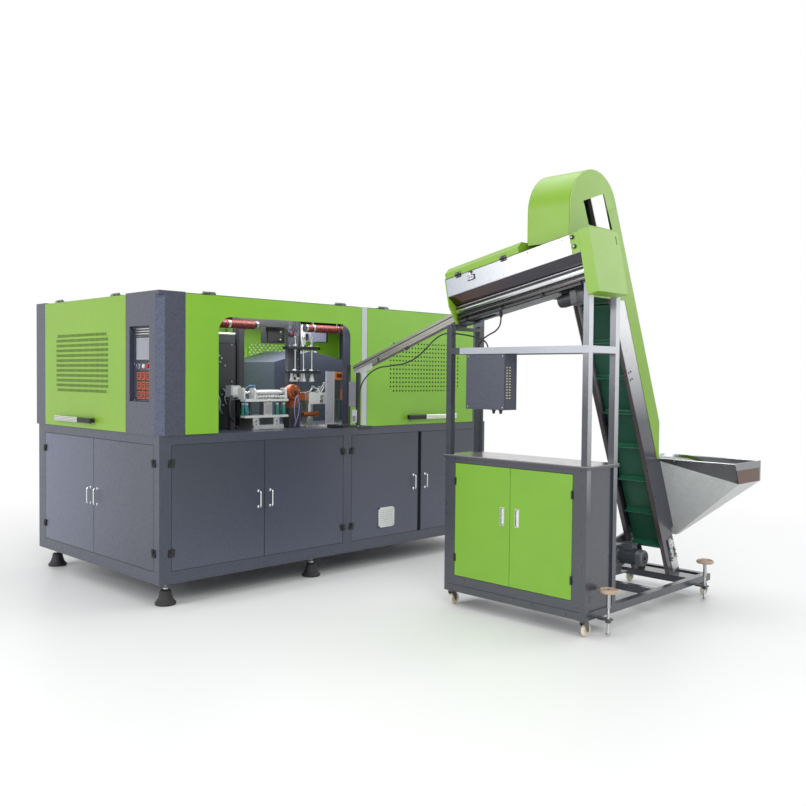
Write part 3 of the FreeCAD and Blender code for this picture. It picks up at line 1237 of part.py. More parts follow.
# ---------------------------------------------------------------- hopper
def hopper_solid(inset, top):
    """The bin as one closed wedge, drawn in by `inset`: a wing in front of a deep body."""
    x_rim = HOPPER_X[0] + inset
    x_floor = x_rim + (RIM_Z - HOPPER_FLOOR) * TAN_LEAN
    x_foot = x_rim + (RIM_Z - HOPPER_FOOT_Z) * TAN_LEAN
    x_out = HOPPER_X[1] - inset
    x_heel = x_foot + HOPPER_HEEL
    near, far = HOPPER_NEAR + inset, HOPPER_FAR - inset
    low, high = HOPPER_FOOT_Z + inset * 1.3, HOPPER_FLOOR + inset * 1.3
    middle = [(x_foot, HOPPER_KNEE, low), (x_heel, HOPPER_KNEE, low),
              (x_out, HOPPER_KNEE, top), (x_rim, HOPPER_KNEE, top)]
    wing = hull_loft([(x_floor, near, high), (x_out, near, high), (x_out, near, top), (x_rim, near, top)],
                     middle)
    body = hull_loft(middle, [(x_foot, far, low), (x_heel, far, low), (x_out, far, top), (x_rim, far, top)])
    return union(wing, body)


def hull_loft(first, second):
    """A closed solid between two four-cornered ends, with flat triangles where sides twist."""
    a, b = [V(*p) for p in first], [V(*p) for p in second]
    faces = [Part.Face(Part.makePolygon(a + a[:1])), Part.Face(Part.makePolygon(b + b[:1]))]
    for i in range(4):
        j = (i + 1) % 4
        quad = [a[i], a[j], b[j], b[i]]
        normal = (quad[1] - quad[0]).cross(quad[2] - quad[0])
        flat = abs(normal.normalize().dot(quad[3] - quad[0])) < 1e-6
        if flat:
            faces.append(Part.Face(Part.makePolygon(quad + quad[:1])))
        else:
            faces.append(Part.Face(Part.makePolygon([quad[0], quad[1], quad[2], quad[0]])))
            faces.append(Part.Face(Part.makePolygon([quad[0], quad[2], quad[3], quad[0]])))
    shell = Part.Shell(faces)
    shell.sewShape()
    solid = Part.Solid(shell)
    if solid.Volume < 0:
        solid.reverse()
    return solid


def hopper_pair():
    """The galvanised bin below and the bright rim band that levels its top."""
    outer = hopper_solid(0.0, RIM_Z)
    inner = hopper_solid(HOPPER_SHEET, RIM_Z + 1)
    mouth = block(HOPPER_X[0] - 40, HOPPER_X[0] + 350, ELEVATOR_NEAR + CHANNEL_FLANGE,
                  ELEVATOR_FAR - CHANNEL_FLANGE, HOPPER_FOOT_Z - 40, RIM_Z + 2)
    lean_face = leaned(block(-400, CHANNEL_DEPTH + 22, -3000, 0, 0, 1600))
    shell = outer.cut(inner).cut(mouth.common(lean_face))
    low = RIM_Z - RIM_BAND
    band = prism_yz([(HOPPER_NEAR - 1, HOPPER_FLOOR), (HOPPER_KNEE, low), (HOPPER_FAR + 1, low),
                     (HOPPER_FAR + 1, RIM_Z + 5), (HOPPER_NEAR - 1, RIM_Z + 5)],
                    HOPPER_X[0] - 100, HOPPER_X[1] + 100)
    return shell.cut(band), shell.common(band)


# ---------------------------------------------------------------- sorter
def tilted(shape):
    out = turned(shape, -SORTER_TILT, (0, 0, 0), X_DIR)
    out.translate(V(0, SORTER_Y, SORTER_Z))
    return out


def sorter_trough():
    """Stainless side panels with inward sheets that guide preforms to the rollers."""
    x0, x1 = SORTER_X
    s1 = SORTER_LENGTH
    wall = 3.0
    left = block(x0, x0 + wall, 0.5, s1, -PANEL_HEIGHT, 0)
    left_slope = prism_xz([(x0, -PANEL_HEIGHT), (x0 + wall * 1.4, -PANEL_HEIGHT), (TROUGH_X + wall, -TROUGH_DROP),
                           (TROUGH_X - 1, -TROUGH_DROP)], 0.5, s1)
    right_edge = 1566.0
    right = block(x1 - wall, x1, 0.5, s1, -PANEL_HEIGHT, 0)
    right_slope = prism_xz([(x1, -PANEL_HEIGHT), (x1 - wall * 1.4, -PANEL_HEIGHT), (right_edge - wall, -TROUGH_DROP),
                            (right_edge + 1, -TROUGH_DROP)], 0.5, s1)
    pieces = [union(left, left_slope), union(right, right_slope)]
    return group(*[tilted(s) for s in pieces + sorter_fittings()])


def sorter_bed():
    """The channel under the rollers, in which the preforms hang, with the roller motor below."""
    x0, x1 = 1440.0, 1584.0
    wall, floor, s1 = 12.0, 4.0, SORTER_LENGTH
    case = block(x0, x1, 0.5, s1, -BED_DROP, -TROUGH_DROP - SEAT)
    room = block(x0 + wall, x1 - wall, 0, s1 + 1, -BED_DROP + floor, 0)
    outlet = block(ROLLER_X[0] + 10, ROLLER_X[1] - 10, s1 - 260, s1 + 1, -BED_DROP - 1, -BED_DROP + 5)
    motor = tilted(block(ROLLER_X[0] - 6, ROLLER_X[1] + 6, 130, 270, -BED_DROP - 92, -BED_DROP))
    gland = bar(CABLE_GLAND, "z", 10, 0, 40, THIN_SIDES)
    gland = gland.cut(tilted(block(x0, x1, 0, s1, -BED_DROP, 0)))
    return group(tilted(case.cut([room, outlet])), motor, gland)


def sorter_roller(number):
    x = ROLLER_X[number - 1]
    z = -ROLLER_DROP
    body = bar((x, 0, z), "y", ROLLER_RADIUS, 6, SORTER_LENGTH - 6, ROLLER_SIDES)
    shaft = bar((x, 0, z), "y", ROLLER_SHAFT, -14, SORTER_LENGTH + 4, THIN_SIDES)
    return tilted(union(body, shaft))


def sorter_ends():
    """The green box at the near end and the green plate at the far end, with roller bearings."""
    x0, x1 = SORTER_X
    bearing = [bore((x, 0, -ROLLER_DROP), "y", ROLLER_SHAFT + RUNNING_FIT, -40, SORTER_LENGTH + 40, THIN_SIDES)
               for x in ROLLER_X]
    near = pan(x0, x1, -END_BOX_LENGTH, 0, -END_BOX_DROP, 8, "+y", 15.0)
    near = union(near, block(x0 + 40, x1 - 40, -20, -0.3, -END_BOX_DROP + 10, -PANEL_HEIGHT - 40))
    slot = block(x1 - 40, x1 - 30, -END_BOX_LENGTH - 1, -END_BOX_LENGTH + 10, -70, -20)
    near = near.cut([slot] + bearing)
    s1 = SORTER_LENGTH + SEAT
    far_points = [(x0, 4), (x1, 4), (x1, -PANEL_HEIGHT - 30), (1590, -BED_DROP), (1430, -BED_DROP),
                  (x0, -PANEL_HEIGHT - 60)]
    far = prism_xz(far_points, s1, s1 + END_PLATE)
    passage = block(ROLLER_X[0] + 12, ROLLER_X[1] - 12, s1 - 1, s1 + END_PLATE + 1,
                    -BED_DROP - 1, -ROLLER_DROP + 60)
    far = far.cut([passage] + bearing)
    return group(tilted(near), tilted(far))


LID_LENGTH = SORTER_LENGTH - LID_START


def sorter_lid():
    """A shallow lid over the far part, hinged along the left panel's top edge."""
    x0, x1 = SORTER_X
    h, bevel = LID_HEIGHT, 40.0
    outline = [(x0, 1.0), (x1, 1.0), (x1, h - 20), (x1 - bevel, h), (x0 + bevel, h), (x0, h - 34)]
    inner = [(x0 + 2, 0), (x1 - 2, 0), (x1 - 2, h - 22), (x1 - bevel - 1, h - 2), (x0 + bevel + 1, h - 2),
             (x0 + 2, h - 36)]
    lid = prism_xz(outline, LID_START, SORTER_LENGTH).cut(
        prism_xz(inner, LID_START + 2, SORTER_LENGTH - 2))
    hinges = [block(x0 - 9, x0, s, s + 44, 2, 16) for s in (LID_START + 100, SORTER_LENGTH - 130)]
    return group(*[tilted(s) for s in [lid] + hinges])


def sorter_fittings():
    """Lower hinge leaves, two clamping knobs and the quick catch on the left panel."""
    x0 = SORTER_X[0]
    leaves = [block(x0 - 9, x0 - SEAT, s, s + 44, -16, 1) for s in (LID_START + 100, SORTER_LENGTH - 130)]
    knobs = []
    for s, z in ((38.0, -22.0), (32.0, -78.0)):
        ring = [(s + 13 * math.cos(math.radians(a)), z + 13 * math.sin(math.radians(a))) for a in range(0, 360, 60)]
        knobs.append(prism_yz(ring, x0 - 14, x0 - SEAT))
    catch = block(x0 - 12, x0 - SEAT, 770, 830, -60, -28)
    return leaves + knobs + [catch]


# ---------------------------------------------------------------- chute
def chute_frame():
    (y0, z0), (y1, z1) = CHUTE_TOP, CHUTE_END
    run = math.hypot(y1 - y0, z1 - z0)
    angle = math.degrees(math.atan2(z1 - z0, y1 - y0))
    return run, angle


def on_chute(shape):
    _, angle = chute_frame()
    out = turned(shape, angle, (0, 0, 0), X_DIR)
    out.translate(V(0, CHUTE_TOP[0], CHUTE_TOP[1]))
    return out


def chute_track():
    """Two aluminium rails joined by saddles, with a gap in which the preforms hang."""
    run, _ = chute_frame()
    x0, x1 = CHUTE_X
    wall, depth = CHUTE_WALL * 3, CHUTE_DEPTH
    rails = [block(x0, x0 + wall, 0, run, -depth, 0), block(x1 - wall, x1, 0, run, -depth, 0)]
    saddles = [block(x0, x1, s, s + 30, -depth - 8, -depth) for s in (60, run * 0.5, run - 60)]
    sorter = tilted(block(x0 - 1, x1 + 1, 0, SORTER_LENGTH + END_PLATE + 3 * SEAT, -BED_DROP - 50, 50))
    return group(*[on_chute(piece).cut(sorter) for piece in rails + saddles])


def chute_stand():
    """The shelf on the machine's front and the two posts that carry the chute's end."""
    x0, x1 = CHUTE_X
    shelf = block(x0 - 60, x1 + 20, -SHELF_OUT, SHELF_IN, SHELF_Z - 8, SHELF_Z)
    spacer = block(x0 - 60, x1 + 20, SHELF_IN - 30, SHELF_IN, BED_TOP, SHELF_Z - 8)
    apron = block(x0 - 60, x1 + 20, -SHELF_OUT, -SHELF_OUT + 6, SHELF_Z - 26, SHELF_Z - 8)
    posts = [block(x0 - STAND_POST, x0 - SEAT, y, y + STAND_POST, SHELF_Z, top)
             for y, top in ((-125.0, 1556.0), (-232.0, 1500.0))]
    run, _ = chute_frame()
    side = on_chute(block(x0 - SEAT - 4, x0 - SEAT, run - 200, run - 10, -CHUTE_DEPTH - 30, -CHUTE_DEPTH + 10))
    return group(union(shelf, apron, spacer), side, *posts)


def corner_path(points):
    """Straight runs joined by tangent arcs, each as large as its two runs allow."""
    pts = [V(*p) for p in points]
    edges, start, radii = [], pts[0], []
    for before, here, after in zip(pts, pts[1:], pts[2:]):
        a, b = before - here, after - here
        half_turn = (math.pi - a.getAngle(b)) / 2
        reach = 0.45 * min(a.Length, b.Length)
        radii.append(reach / math.tan(half_turn))
        a.normalize()
        b.normalize()
        t0, t1 = here + a * reach, here + b * reach
        centre_dir = a + b
        centre_dir.normalize()
        centre = here + centre_dir * (radii[-1] / math.cos(half_turn))
        middle = centre - centre_dir * radii[-1]
        edges.append(Part.LineSegment(start, t0).toShape())
        edges.append(Part.Arc(t0, middle, t1).toShape())
        start = t1
    edges.append(Part.LineSegment(start, pts[-1]).toShape())
    return Part.Wire(edges), radii


def tube(points, radius):
    """A cord with a light four-sided section, swept along runs and arcs."""
    path, radii = corner_path(points)
    start, toward = V(*points[0]), V(*points[1])
    along = (toward - start).normalize()
    side = along.cross(X_DIR).normalize()
    up = along.cross(side)
    corners = []
    for i in range(CORD_SIDES):
        angle = 2 * math.pi * (i + 0.5) / CORD_SIDES
        corners.append(start + side * (radius * math.cos(angle)) + up * (radius * math.sin(angle)))
    solid = path.makePipeShell([Part.makePolygon(corners + corners[:1])], True, False)
    section = CORD_SIDES / 2 * radius ** 2 * math.sin(2 * math.pi / CORD_SIDES)
    print("cable: volume ratio %.4f, length %.0f, radii %s"
          % (solid.Volume / (section * path.Length), path.Length, [round(r) for r in radii]))
    return solid


CHUTE_CABLE = [
    (1478, -1420, 1622), (1478, -1420, 1682), (1473, -1372, 1718), (1469, -1270, 1742),
    (1469, -1160, 1757), (1475, -1052, 1764), (1477, -962, 1728), (1476, -882, 1660),
    (1475, -792, 1600), (1477, -682, 1562), (1476, -552, 1549), (1474, -428, 1540),
    (1466, -338, 1496), (1450, -282, 1432), (1445, -260, 1352), (1439, -252, 1268),
    (1441, -246, 1184), (1441, -246, 1116),
]
SORTER_CABLE = [
    (1500, -1318, 1622), (1500, -1318, 1674), (1499, -1354, 1718), (1501, -1406, 1746),
    (1500, -1462, 1766), (1500, -1500, 1806), (1500, -1500, 1856),
]
CABLE_GLAND = (1500, -1500, 1856)


# ---------------------------------------------------------------- all the parts
def build():
    galvanised, bright = hopper_pair()
    parts = {
        "base_frame": base_frame(),
        "door_hinges": door_hinges(),
        "machine_feet": machine_feet(),
        "control_column": control_column(),
        "enclosure_frame": enclosure_frame(),
        "enclosure_panels": enclosure_panels(),
        "roof_sheet": roof_sheet(),
        "window_door": window_door(),
        "vent_door": vent_door(),
        "end_door": end_door(),
        "control_panel": control_panel(),
        "emergency_stop": push_button(ESTOP_Y, MUSHROOM_RADIUS, 12.0, 7.0, 4.0),
        "start_button": push_button(START_Y, BUTTON_RADIUS, 5.0, 4.0),
        "mode_selector": mode_selector(),
        "oven_cover": oven_cover(),
        "clamp_unit": clamp_unit(),
        "stretch_carriage": stretch_carriage(),
        "transfer_table": transfer_table(),
        "air_hose": air_hose(),
        "feeder_frame": feeder_frame(),
        "feeder_cabinet": feeder_cabinet(),
        "terminal_box": terminal_box(),
        "elevator_frame": elevator_frame(),
        "elevator_hood": elevator_hood(),
        "elevator_cover": elevator_cover(),
        "elevator_belt": elevator_belt(),
        "head_drum": drum(HEAD_RISE),
        "tail_drum": drum(TAIL_RISE),
        "gearmotor": gearmotor(),
        "hopper_bin": galvanised,
        "hopper_rim": bright,
        "sorter_trough": sorter_trough(),
        "sorter_bed": sorter_bed(),
        "sorter_ends": sorter_ends(),
        "sorter_lid": sorter_lid(),
        "chute_track": chute_track(),
        "chute_stand": chute_stand(),
        "chute_cable": tube(CHUTE_CABLE, CABLE_RADIUS),
        "sorter_cable": tube(SORTER_CABLE, CABLE_RADIUS),
    }
    for name in FRONT_DOORS:
        parts[name] = front_base_door(name)
    for name in END_DOORS:
        parts[name] = end_base_door(name)
    for name in CABINET_DOORS:
        parts[name] = cabinet_door(name)
    for number in CASTERS:
        parts["caster_fork_%d" % number] = caster_fork(number)
        parts["caster_wheel_%d" % number] = caster_wheel(number)
    for number in (1, 2):
        parts["jack_screw_%d" % number] = jack_screw(number)
        parts["handwheel_%d" % number] = handwheel(number)
        parts["sorter_roller_%d" % number] = sorter_roller(number)
    return parts


PARTS = build()
BOX = Part.makeCompound(list(PARTS.values())).BoundBox
ORIGIN = V((BOX.XMin + BOX.XMax) / 2, (BOX.YMin + BOX.YMax) / 2, 0)

os.makedirs("parts", exist_ok=True)
for part_name, part_shape in PARTS.items():
    placed = part_shape.copy()
    placed.translate(V(-ORIGIN.x, -ORIGIN.y, 0))
    placed.exportStep("parts/%s.step" % part_name)
print("nodes", len(PARTS), "origin", ORIGIN, "box", BOX)
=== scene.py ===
import math
from itertools import product

import bmesh
import bpy
from mathutils import Matrix, Vector
from mathutils.geometry import tessellate_polygon


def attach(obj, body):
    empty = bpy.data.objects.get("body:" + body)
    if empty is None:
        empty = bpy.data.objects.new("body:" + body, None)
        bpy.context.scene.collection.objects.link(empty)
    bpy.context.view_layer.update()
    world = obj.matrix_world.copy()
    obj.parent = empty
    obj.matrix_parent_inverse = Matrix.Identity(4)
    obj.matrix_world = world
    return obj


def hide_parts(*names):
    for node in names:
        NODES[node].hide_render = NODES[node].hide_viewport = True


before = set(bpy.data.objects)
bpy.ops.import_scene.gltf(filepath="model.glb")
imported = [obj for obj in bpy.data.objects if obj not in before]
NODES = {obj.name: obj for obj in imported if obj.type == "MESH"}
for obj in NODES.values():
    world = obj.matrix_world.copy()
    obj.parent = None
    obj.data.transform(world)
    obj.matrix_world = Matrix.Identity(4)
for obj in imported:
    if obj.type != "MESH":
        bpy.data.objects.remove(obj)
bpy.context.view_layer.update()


# Sizes are in millimetres from the machine's front left corner, as in the solids, and become the row frame's
# metres when a mesh is made.
SHIFT = Vector((1559.5, -373.0, 0.0))


def at(x, y, z):
    return (Vector((x, y, z)) - SHIFT) / 1000.0


def polar(radius, degrees, centre=(0.0, 0.0)):
    t = math.radians(degrees)
    return centre[0] + radius * math.cos(t), centre[1] + radius * math.sin(t)


def link(obj):
    bpy.context.scene.collection.objects.link(obj)
    return obj


# ------------------------------------------------------------------ camera
def make_camera():
    """The camera that was fitted to the photo's straight edges."""
    yaw, pitch, roll = math.radians(45.129), math.radians(-1.776), math.radians(0.544)
    forward = Vector((math.sin(yaw) * math.cos(pitch), math.cos(yaw) * math.cos(pitch), math.sin(pitch)))
    right = Vector((math.cos(yaw), -math.sin(yaw), 0.0))
    up = right.cross(forward)
    side = math.cos(roll) * right + math.sin(roll) * up
    top = -math.sin(roll) * right + math.cos(roll) * up
    data = bpy.data.cameras.new("camera")
    data.sensor_width = 36.0
    data.lens = 886.73 / 806.0 * data.sensor_width
    camera = link(bpy.data.objects.new("camera", data))
    turn = Matrix((side, top, -forward)).transposed().to_4x4()
    camera.matrix_world = Matrix.Translation(at(-2839.6, -4967.9, 1483.1)) @ turn
    bpy.context.scene.camera = camera


make_camera()


# ------------------------------------------------------------------ materials
class Sheet:
    """A node tree under construction."""

    def __init__(self, owner):
        owner.use_nodes = True
        self.owner, self.tree = owner, owner.node_tree
        self.tree.nodes.clear()

    def add(self, kind, inputs=None, **settings):
        node = self.tree.nodes.new("ShaderNode" + kind)
        for key, value in settings.items():
            setattr(node, key, value)
        for key, value in (inputs or {}).items():
            self.feed(node.inputs[key], value)
        return node

    def feed(self, socket, value):
        if isinstance(value, bpy.types.NodeSocket):
            self.tree.links.new(value, socket)
        elif hasattr(socket.default_value, "__len__"):
            value = tuple(value)
            socket.default_value = value + (1.0,) * (len(socket.default_value) - len(value))
        else:
            socket.default_value = value

    def math(self, operation, a, b=0.0, clamp=False):
        return self.add("Math", {0: a, 1: b}, operation=operation, use_clamp=clamp).outputs[0]

    def times(self, a, b):
        return self.math("MULTIPLY", a, b)

    def most(self, first, *others):
        for one in others:
            first = self.math("MAXIMUM", first, one)
        return first

    def vector(self, operation, a, b=(0.0, 0.0, 0.0)):
        return self.add("VectorMath", {0: a, 1: b}, operation=operation).outputs

    def parts(self, vector):
        return self.add("SeparateXYZ", {0: vector}).outputs

    def ramp(self, value, low, high, to_low=0.0, to_high=1.0):
        return self.add("MapRange", {"Value": value, "From Min": low, "From Max": high, "To Min": to_low,
                                     "To Max": to_high}).outputs["Result"]

    def mix(self, factor, a, b):
        """Between two colours."""
        return self.add("Mix", {0: factor, 6: a, 7: b}, data_type="RGBA").outputs[2]

    def blend(self, factor, a, b):
        """Between two numbers."""
        return self.add("Mix", {0: factor, 2: a, 3: b}, data_type="FLOAT").outputs[0]

    def noise(self, scale, detail=2.0, stretch=None, rough=0.5):
        place = self.place
        if stretch:
            place = self.add("Mapping", {"Vector": place, "Scale": stretch}).outputs[0]
        return self.add("TexNoise", {"Vector": place, "Scale": scale, "Detail": detail,
                                     "Roughness": rough}).outputs["Fac"]

    def inside(self, low, high):
        """1 in a box of the row frame, else 0."""
        centre = [(a + b) / 2 for a, b in zip(low, high)]
        half = [abs(b - a) / 2 for a, b in zip(low, high)]
        off = self.vector("ABSOLUTE", self.vector("SUBTRACT", self.place, centre)[0])[0]
        return self.math("LESS_THAN", self.most(*self.parts(self.vector("SUBTRACT", off, half)[0])), 0.0)

    def seen(self):
        """1 for the rays that show a white background, 0 for those that light the object."""
        path = self.add("LightPath").outputs
        return self.most(path["Is Camera Ray"], path["Is Glossy Ray"], path["Is Transmission Ray"])


def srgb(*channels):
    shares = [c / 255.0 for c in channels]
    return tuple(c / 12.92 if c <= 0.04045 else ((c + 0.055) / 1.055) ** 2.4 for c in shares)


def times(colour, *shares):
    """A colour times one share, or one for each channel."""
    return [min(1.0, c * k) for c, k in zip(colour, shares * (3 // len(shares)))]


def look(kind, colour, rough, metal=0.0, **more):
    return dict(kind=kind, colour=colour, rough=rough, metal=metal, **more)


# Colour: noise scale and detail, its ramp, darkest and lightest share. Roughness: noise, ramp, less and more.
# Relief: noise, depth in metres.
KINDS = {
    "paint": ((3.1, 3.0), (0.3, 0.7), (0.965, 1.035), (14.0, 4.0), (0.3, 0.7), (0.04, 0.05), (260.0, 1.0), 0.00012),
    "mirror": ((9.0, 4.0), (0.3, 0.7), (0.95, 1.0), (30.0, 5.0), (0.35, 0.75), (0.0, 0.09), (7.0, 1.0), 0.0008),
    "rubber": ((90.0, 4.0), None, (0.8, 1.25), (25.0, 4.0), (0.3, 0.7), (0.06, 0.08), (420.0, 1.0), 0.00012),
    "plastic": ((3.1, 3.0), None, (0.95, 1.04), (60.0, 3.0), (0.3, 0.7), (0.04, 0.05), (600.0, 1.0), 0.00005),
    "cast": ((22.0, 5.0), None, (0.82, 1.12), (50.0, 4.0), (0.3, 0.7), (0.05, 0.08), (180.0, 3.0), 0.00035),
    "lit": ((12.0, 2.0), None, (0.9, 1.0), (60.0, 2.0), (0.3, 0.7), (0.02, 0.03), None, 0.0),
}


def finish_sockets(s, f):
    """Colour, roughness, metal and height in metres of one finish."""
    kind, flat, rough, height = f["kind"], f["colour"], f["rough"], 0.0
    if kind == "hammer":
        grain = f.get("grain", 125.0)
        pits = s.add("TexVoronoi", {"Vector": s.place, "Scale": grain, "Smoothness": 0.35},
                     feature="SMOOTH_F1").outputs["Distance"]
        light, dark = f.get("contrast", (1.22, 0.82))
        colour = s.mix(s.ramp(pits, 0.05, 0.75), times(flat, light), times(flat, dark))
        height = s.times(pits, 0.056 / grain)
        rough = s.ramp(s.noise(40.0), 0.3, 0.7, rough - 0.05, rough + 0.07)
    elif kind == "brushed":
        grain = s.noise(60.0, 3.0, f.get("stretch", (1.0, 1.0, 30.0)))
        colour = s.mix(grain, times(flat, 0.90), times(flat, 1.06))
        colour = s.mix(s.ramp(s.noise(5.0, 3.0), 0.35, 0.7, 0.0, 0.16), colour, times(flat, 0.7))
        rough = s.ramp(grain, 0.25, 0.75, rough - 0.06, rough + 0.09)
        height = s.times(grain, 0.00006)
    elif kind == "spangle":
        tone = s.parts(s.add("TexVoronoi", {"Vector": s.place, "Scale": 46.0}).outputs["Color"])[0]
        cloud = s.noise(2.4, 5.0, rough=0.6)
        colour = s.mix(s.ramp(tone, 0.0, 1.0, 0.0, 0.5), times(flat, 0.93), times(flat, 1.16))
        colour = s.mix(s.ramp(cloud, 0.35, 0.72, 0.0, 0.5), colour, times(flat, 0.78))
        rough = s.ramp(tone, 0.0, 1.0, rough - 0.08, rough + 0.1)
        height = s.times(s.noise(5.5, 1.5), 0.004)
    else:
        tone, tone_ramp, (dark, light), grain, grain_ramp, (less, more), relief, depth = KINDS[kind]
        tone = s.noise(*tone)
        colour = s.mix(s.ramp(tone, *tone_ramp) if tone_ramp else tone, times(flat, dark), times(flat, light))
        rough = s.ramp(s.noise(*grain), *grain_ramp, rough - less, rough + more)
        if relief:
            height = s.times(s.noise(*relief), f.get("wave", depth))
    # A colour fade along one axis, gated along another where asked. Several materials below use it for painted sheen
    # and painted reflections.
    if "fade" in f:
        axis, low, high, tint = f["fade"]
        share = s.ramp(s.parts(s.place)[axis], low, high)
        if "gate" in f:
            axis, low, high = f["gate"]
            share = s.times(share, s.ramp(s.parts(s.place)[axis], low, high))
        colour = s.mix(share, colour, tint)
    return colour, rough, f["metal"], height


ROUND_EDGE = 0.0012


def material(name, base, *zones, wear=0.0, **changes):
    """One finish, or several that each hold inside boxes of the row frame."""
    base = dict(base, **changes)
    s = Sheet(bpy.data.materials.new(name))
    s.place = s.add("TexCoord").outputs["Object"]
    colour, rough, metal, height = finish_sockets(s, base)
    for finish, *boxes in zones:
        z_colour, z_rough, z_metal, z_height = finish_sockets(s, finish)
        mask = s.most(*(s.inside(*box) for box in boxes))
        colour = s.mix(mask, colour, z_colour)
        rough = s.blend(mask, rough, z_rough)
        metal = s.blend(mask, metal, z_metal) if (metal, z_metal) != (0.0, 0.0) else 0.0
        height = s.blend(mask, height, z_height)
    soft = s.add("Bevel", {"Radius": ROUND_EDGE}, samples=4).outputs[0]
    if wear:
        flat = s.add("NewGeometry").outputs["True Normal"]
        edge = s.ramp(s.vector("DOT_PRODUCT", soft, flat)["Value"], 0.995, 0.93)
        worn = s.times(edge, s.ramp(s.noise(35.0, 4.0), 0.42, 0.62, 0.15, 1.0))
        colour = s.mix(s.math("MULTIPLY", worn, wear, clamp=True), colour, (0.42, 0.43, 0.43))
    bump = s.add("Bump", {"Strength": 1.0, "Distance": 1.0, "Height": height, "Normal": soft}).outputs[0]
    shader = s.add("BsdfPrincipled", {"Base Color": colour, "Roughness": rough, "Metallic": metal, "Normal": bump})
    if "coat" in base:
        s.feed(shader.inputs["Coat Weight"], base["coat"])
        s.feed(shader.inputs["Coat Roughness"], base["coat_rough"])
    s.add("OutputMaterial", {"Surface": shader.outputs[0]})
    return s.owner


GREEN = look("paint", srgb(128, 184, 44), 0.38, coat=0.16, coat_rough=0.25)
GREY = look("hammer", srgb(64, 68, 85), 0.38, coat=0.3, coat_rough=0.22)
FRAME_GREY = look("paint", srgb(57, 60, 70), 0.30, coat=0.5, coat_rough=0.14)
SILVER = look("paint", srgb(186, 192, 190), 0.35, 0.15)
DARK = look("paint", srgb(44, 46, 51), 0.36)
STEEL = look("brushed", (0.60, 0.61, 0.62), 0.28, 1.0)
ALU = look("brushed", (0.58, 0.59, 0.60), 0.30, 0.9, stretch=(1.0, 0.03, 1.0))
BRIGHT = look("mirror", (0.78, 0.79, 0.80), 0.07, 1.0)
CHROME = look("mirror", (0.80, 0.81, 0.82), 0.06, 1.0, wave=0.0001)
ZINC = look("cast", (0.60, 0.61, 0.60), 0.34, 0.9)
MOTOR = look("cast", srgb(104, 108, 114), 0.36, 0.3)
RUBBER = look("rubber", (0.022, 0.022, 0.024), 0.62)
WHITE = look("plastic", srgb(226, 228, 226), 0.32)


# ------------------------------------------------------------------ light and floor
def make_world():
    world = bpy.data.worlds.new("studio")
    s = Sheet(world)
    dim = s.add("Background", {"Color": (0.94, 0.97, 1.0), "Strength": 0.42}).outputs[0]
    backdrop = s.add("Background", {"Color": (1.0, 1.0, 1.0), "Strength": 1.0}).outputs[0]
    s.add("OutputWorld", {"Surface": s.add("MixShader", {0: s.seen(), 1: dim, 2: backdrop}).outputs[0]})
    bpy.context.scene.world = world


def area_light(name, place, aim, size, watts, tint=(1.0, 1.0, 1.0)):
    data = bpy.data.lights.new(name, "AREA")
    data.shape = "RECTANGLE"
    data.size, data.size_y = size
    data.energy, data.color = watts, tint
    place, aim = Vector(place), Vector(aim)
    turn = (aim - place).to_track_quat("-Z", "Y").to_matrix().to_4x4()
    link(bpy.data.objects.new(name, data)).matrix_world = Matrix.Translation(place) @ turn


def make_floor(reach=60.0):
    """A pale floor that takes the shadows and turns white away from the object."""
    s = Sheet(bpy.data.materials.new("floor"))
    s.place = s.add("TexCoord").outputs["Object"]
    far = s.add("MapRange", {"Value": s.vector("LENGTH", s.place)["Value"], "From Min": 2.0, "From Max": 6.0},
                interpolation_type="SMOOTHSTEP").outputs["Result"]
    near = s.add("BsdfPrincipled", {"Base Color": (0.96, 0.96, 0.955), "Roughness": 0.42}).outputs[0]
    glow = s.add("Emission", {"Color": (1.0, 1.0, 1.0), "Strength": 1.0}).outputs[0]
    both = s.add("MixShader", {0: s.times(far, s.seen()), 1: near, 2: glow}).outputs[0]
    s.add("OutputMaterial", {"Surface": both})
    mesh = bpy.data.meshes.new("floor")
    corners = [(-reach, -reach, 0), (reach, -reach, 0), (reach, reach, 0), (-reach, reach, 0)]
    mesh.from_pydata(corners, [], [(0, 1, 2, 3)])
    mesh.materials.append(s.owner)
    floor = link(bpy.data.objects.new("floor", mesh))
    floor.location.z = -0.0005


bpy.context.scene.view_settings.view_transform = "Standard"
make_world()
make_floor()
area_light("key", (-5.5, -7.0, 6.5), (0.0, -0.3, 1.0), (6.0, 5.0), 378.0, (1.0, 0.985, 0.96))
area_light("side", (-8.5, 2.5, 3.6), (-1.0, 0.8, 1.2), (4.0, 4.0), 230.0)
area_light("top", (0.5, 0.0, 8.0), (0.0, 0.0, 0.0), (7.0, 7.0), 250.0)
area_light("inside", at(1500, 900, 1955), at(1500, 900, 1200), (2.2, 0.7), 34.0)
area_light("window", at(950, 120, 1962), at(950, 330, 1700), (1.4, 0.1), 6.0)
area_light("right", (7.0, -4.5, 4.5), (0.5, -1.0, 1.2), (4.0, 4.0), 120.0, (0.97, 0.985, 1.0))


# ------------------------------------------------------------------ mesh building
# Two places across an axis and one along it, in x, y, z order.
ORDER = {"x": lambda a, b, t: (t, a, b), "y": lambda a, b, t: (a, t, b), "z": lambda a, b, t: (a, b, t)}
BOX_FACES = [(0, 1, 3, 2), (4, 6, 7, 5), (0, 4, 5, 1), (2, 3, 7, 6), (0, 2, 6, 4), (1, 5, 7, 3)]


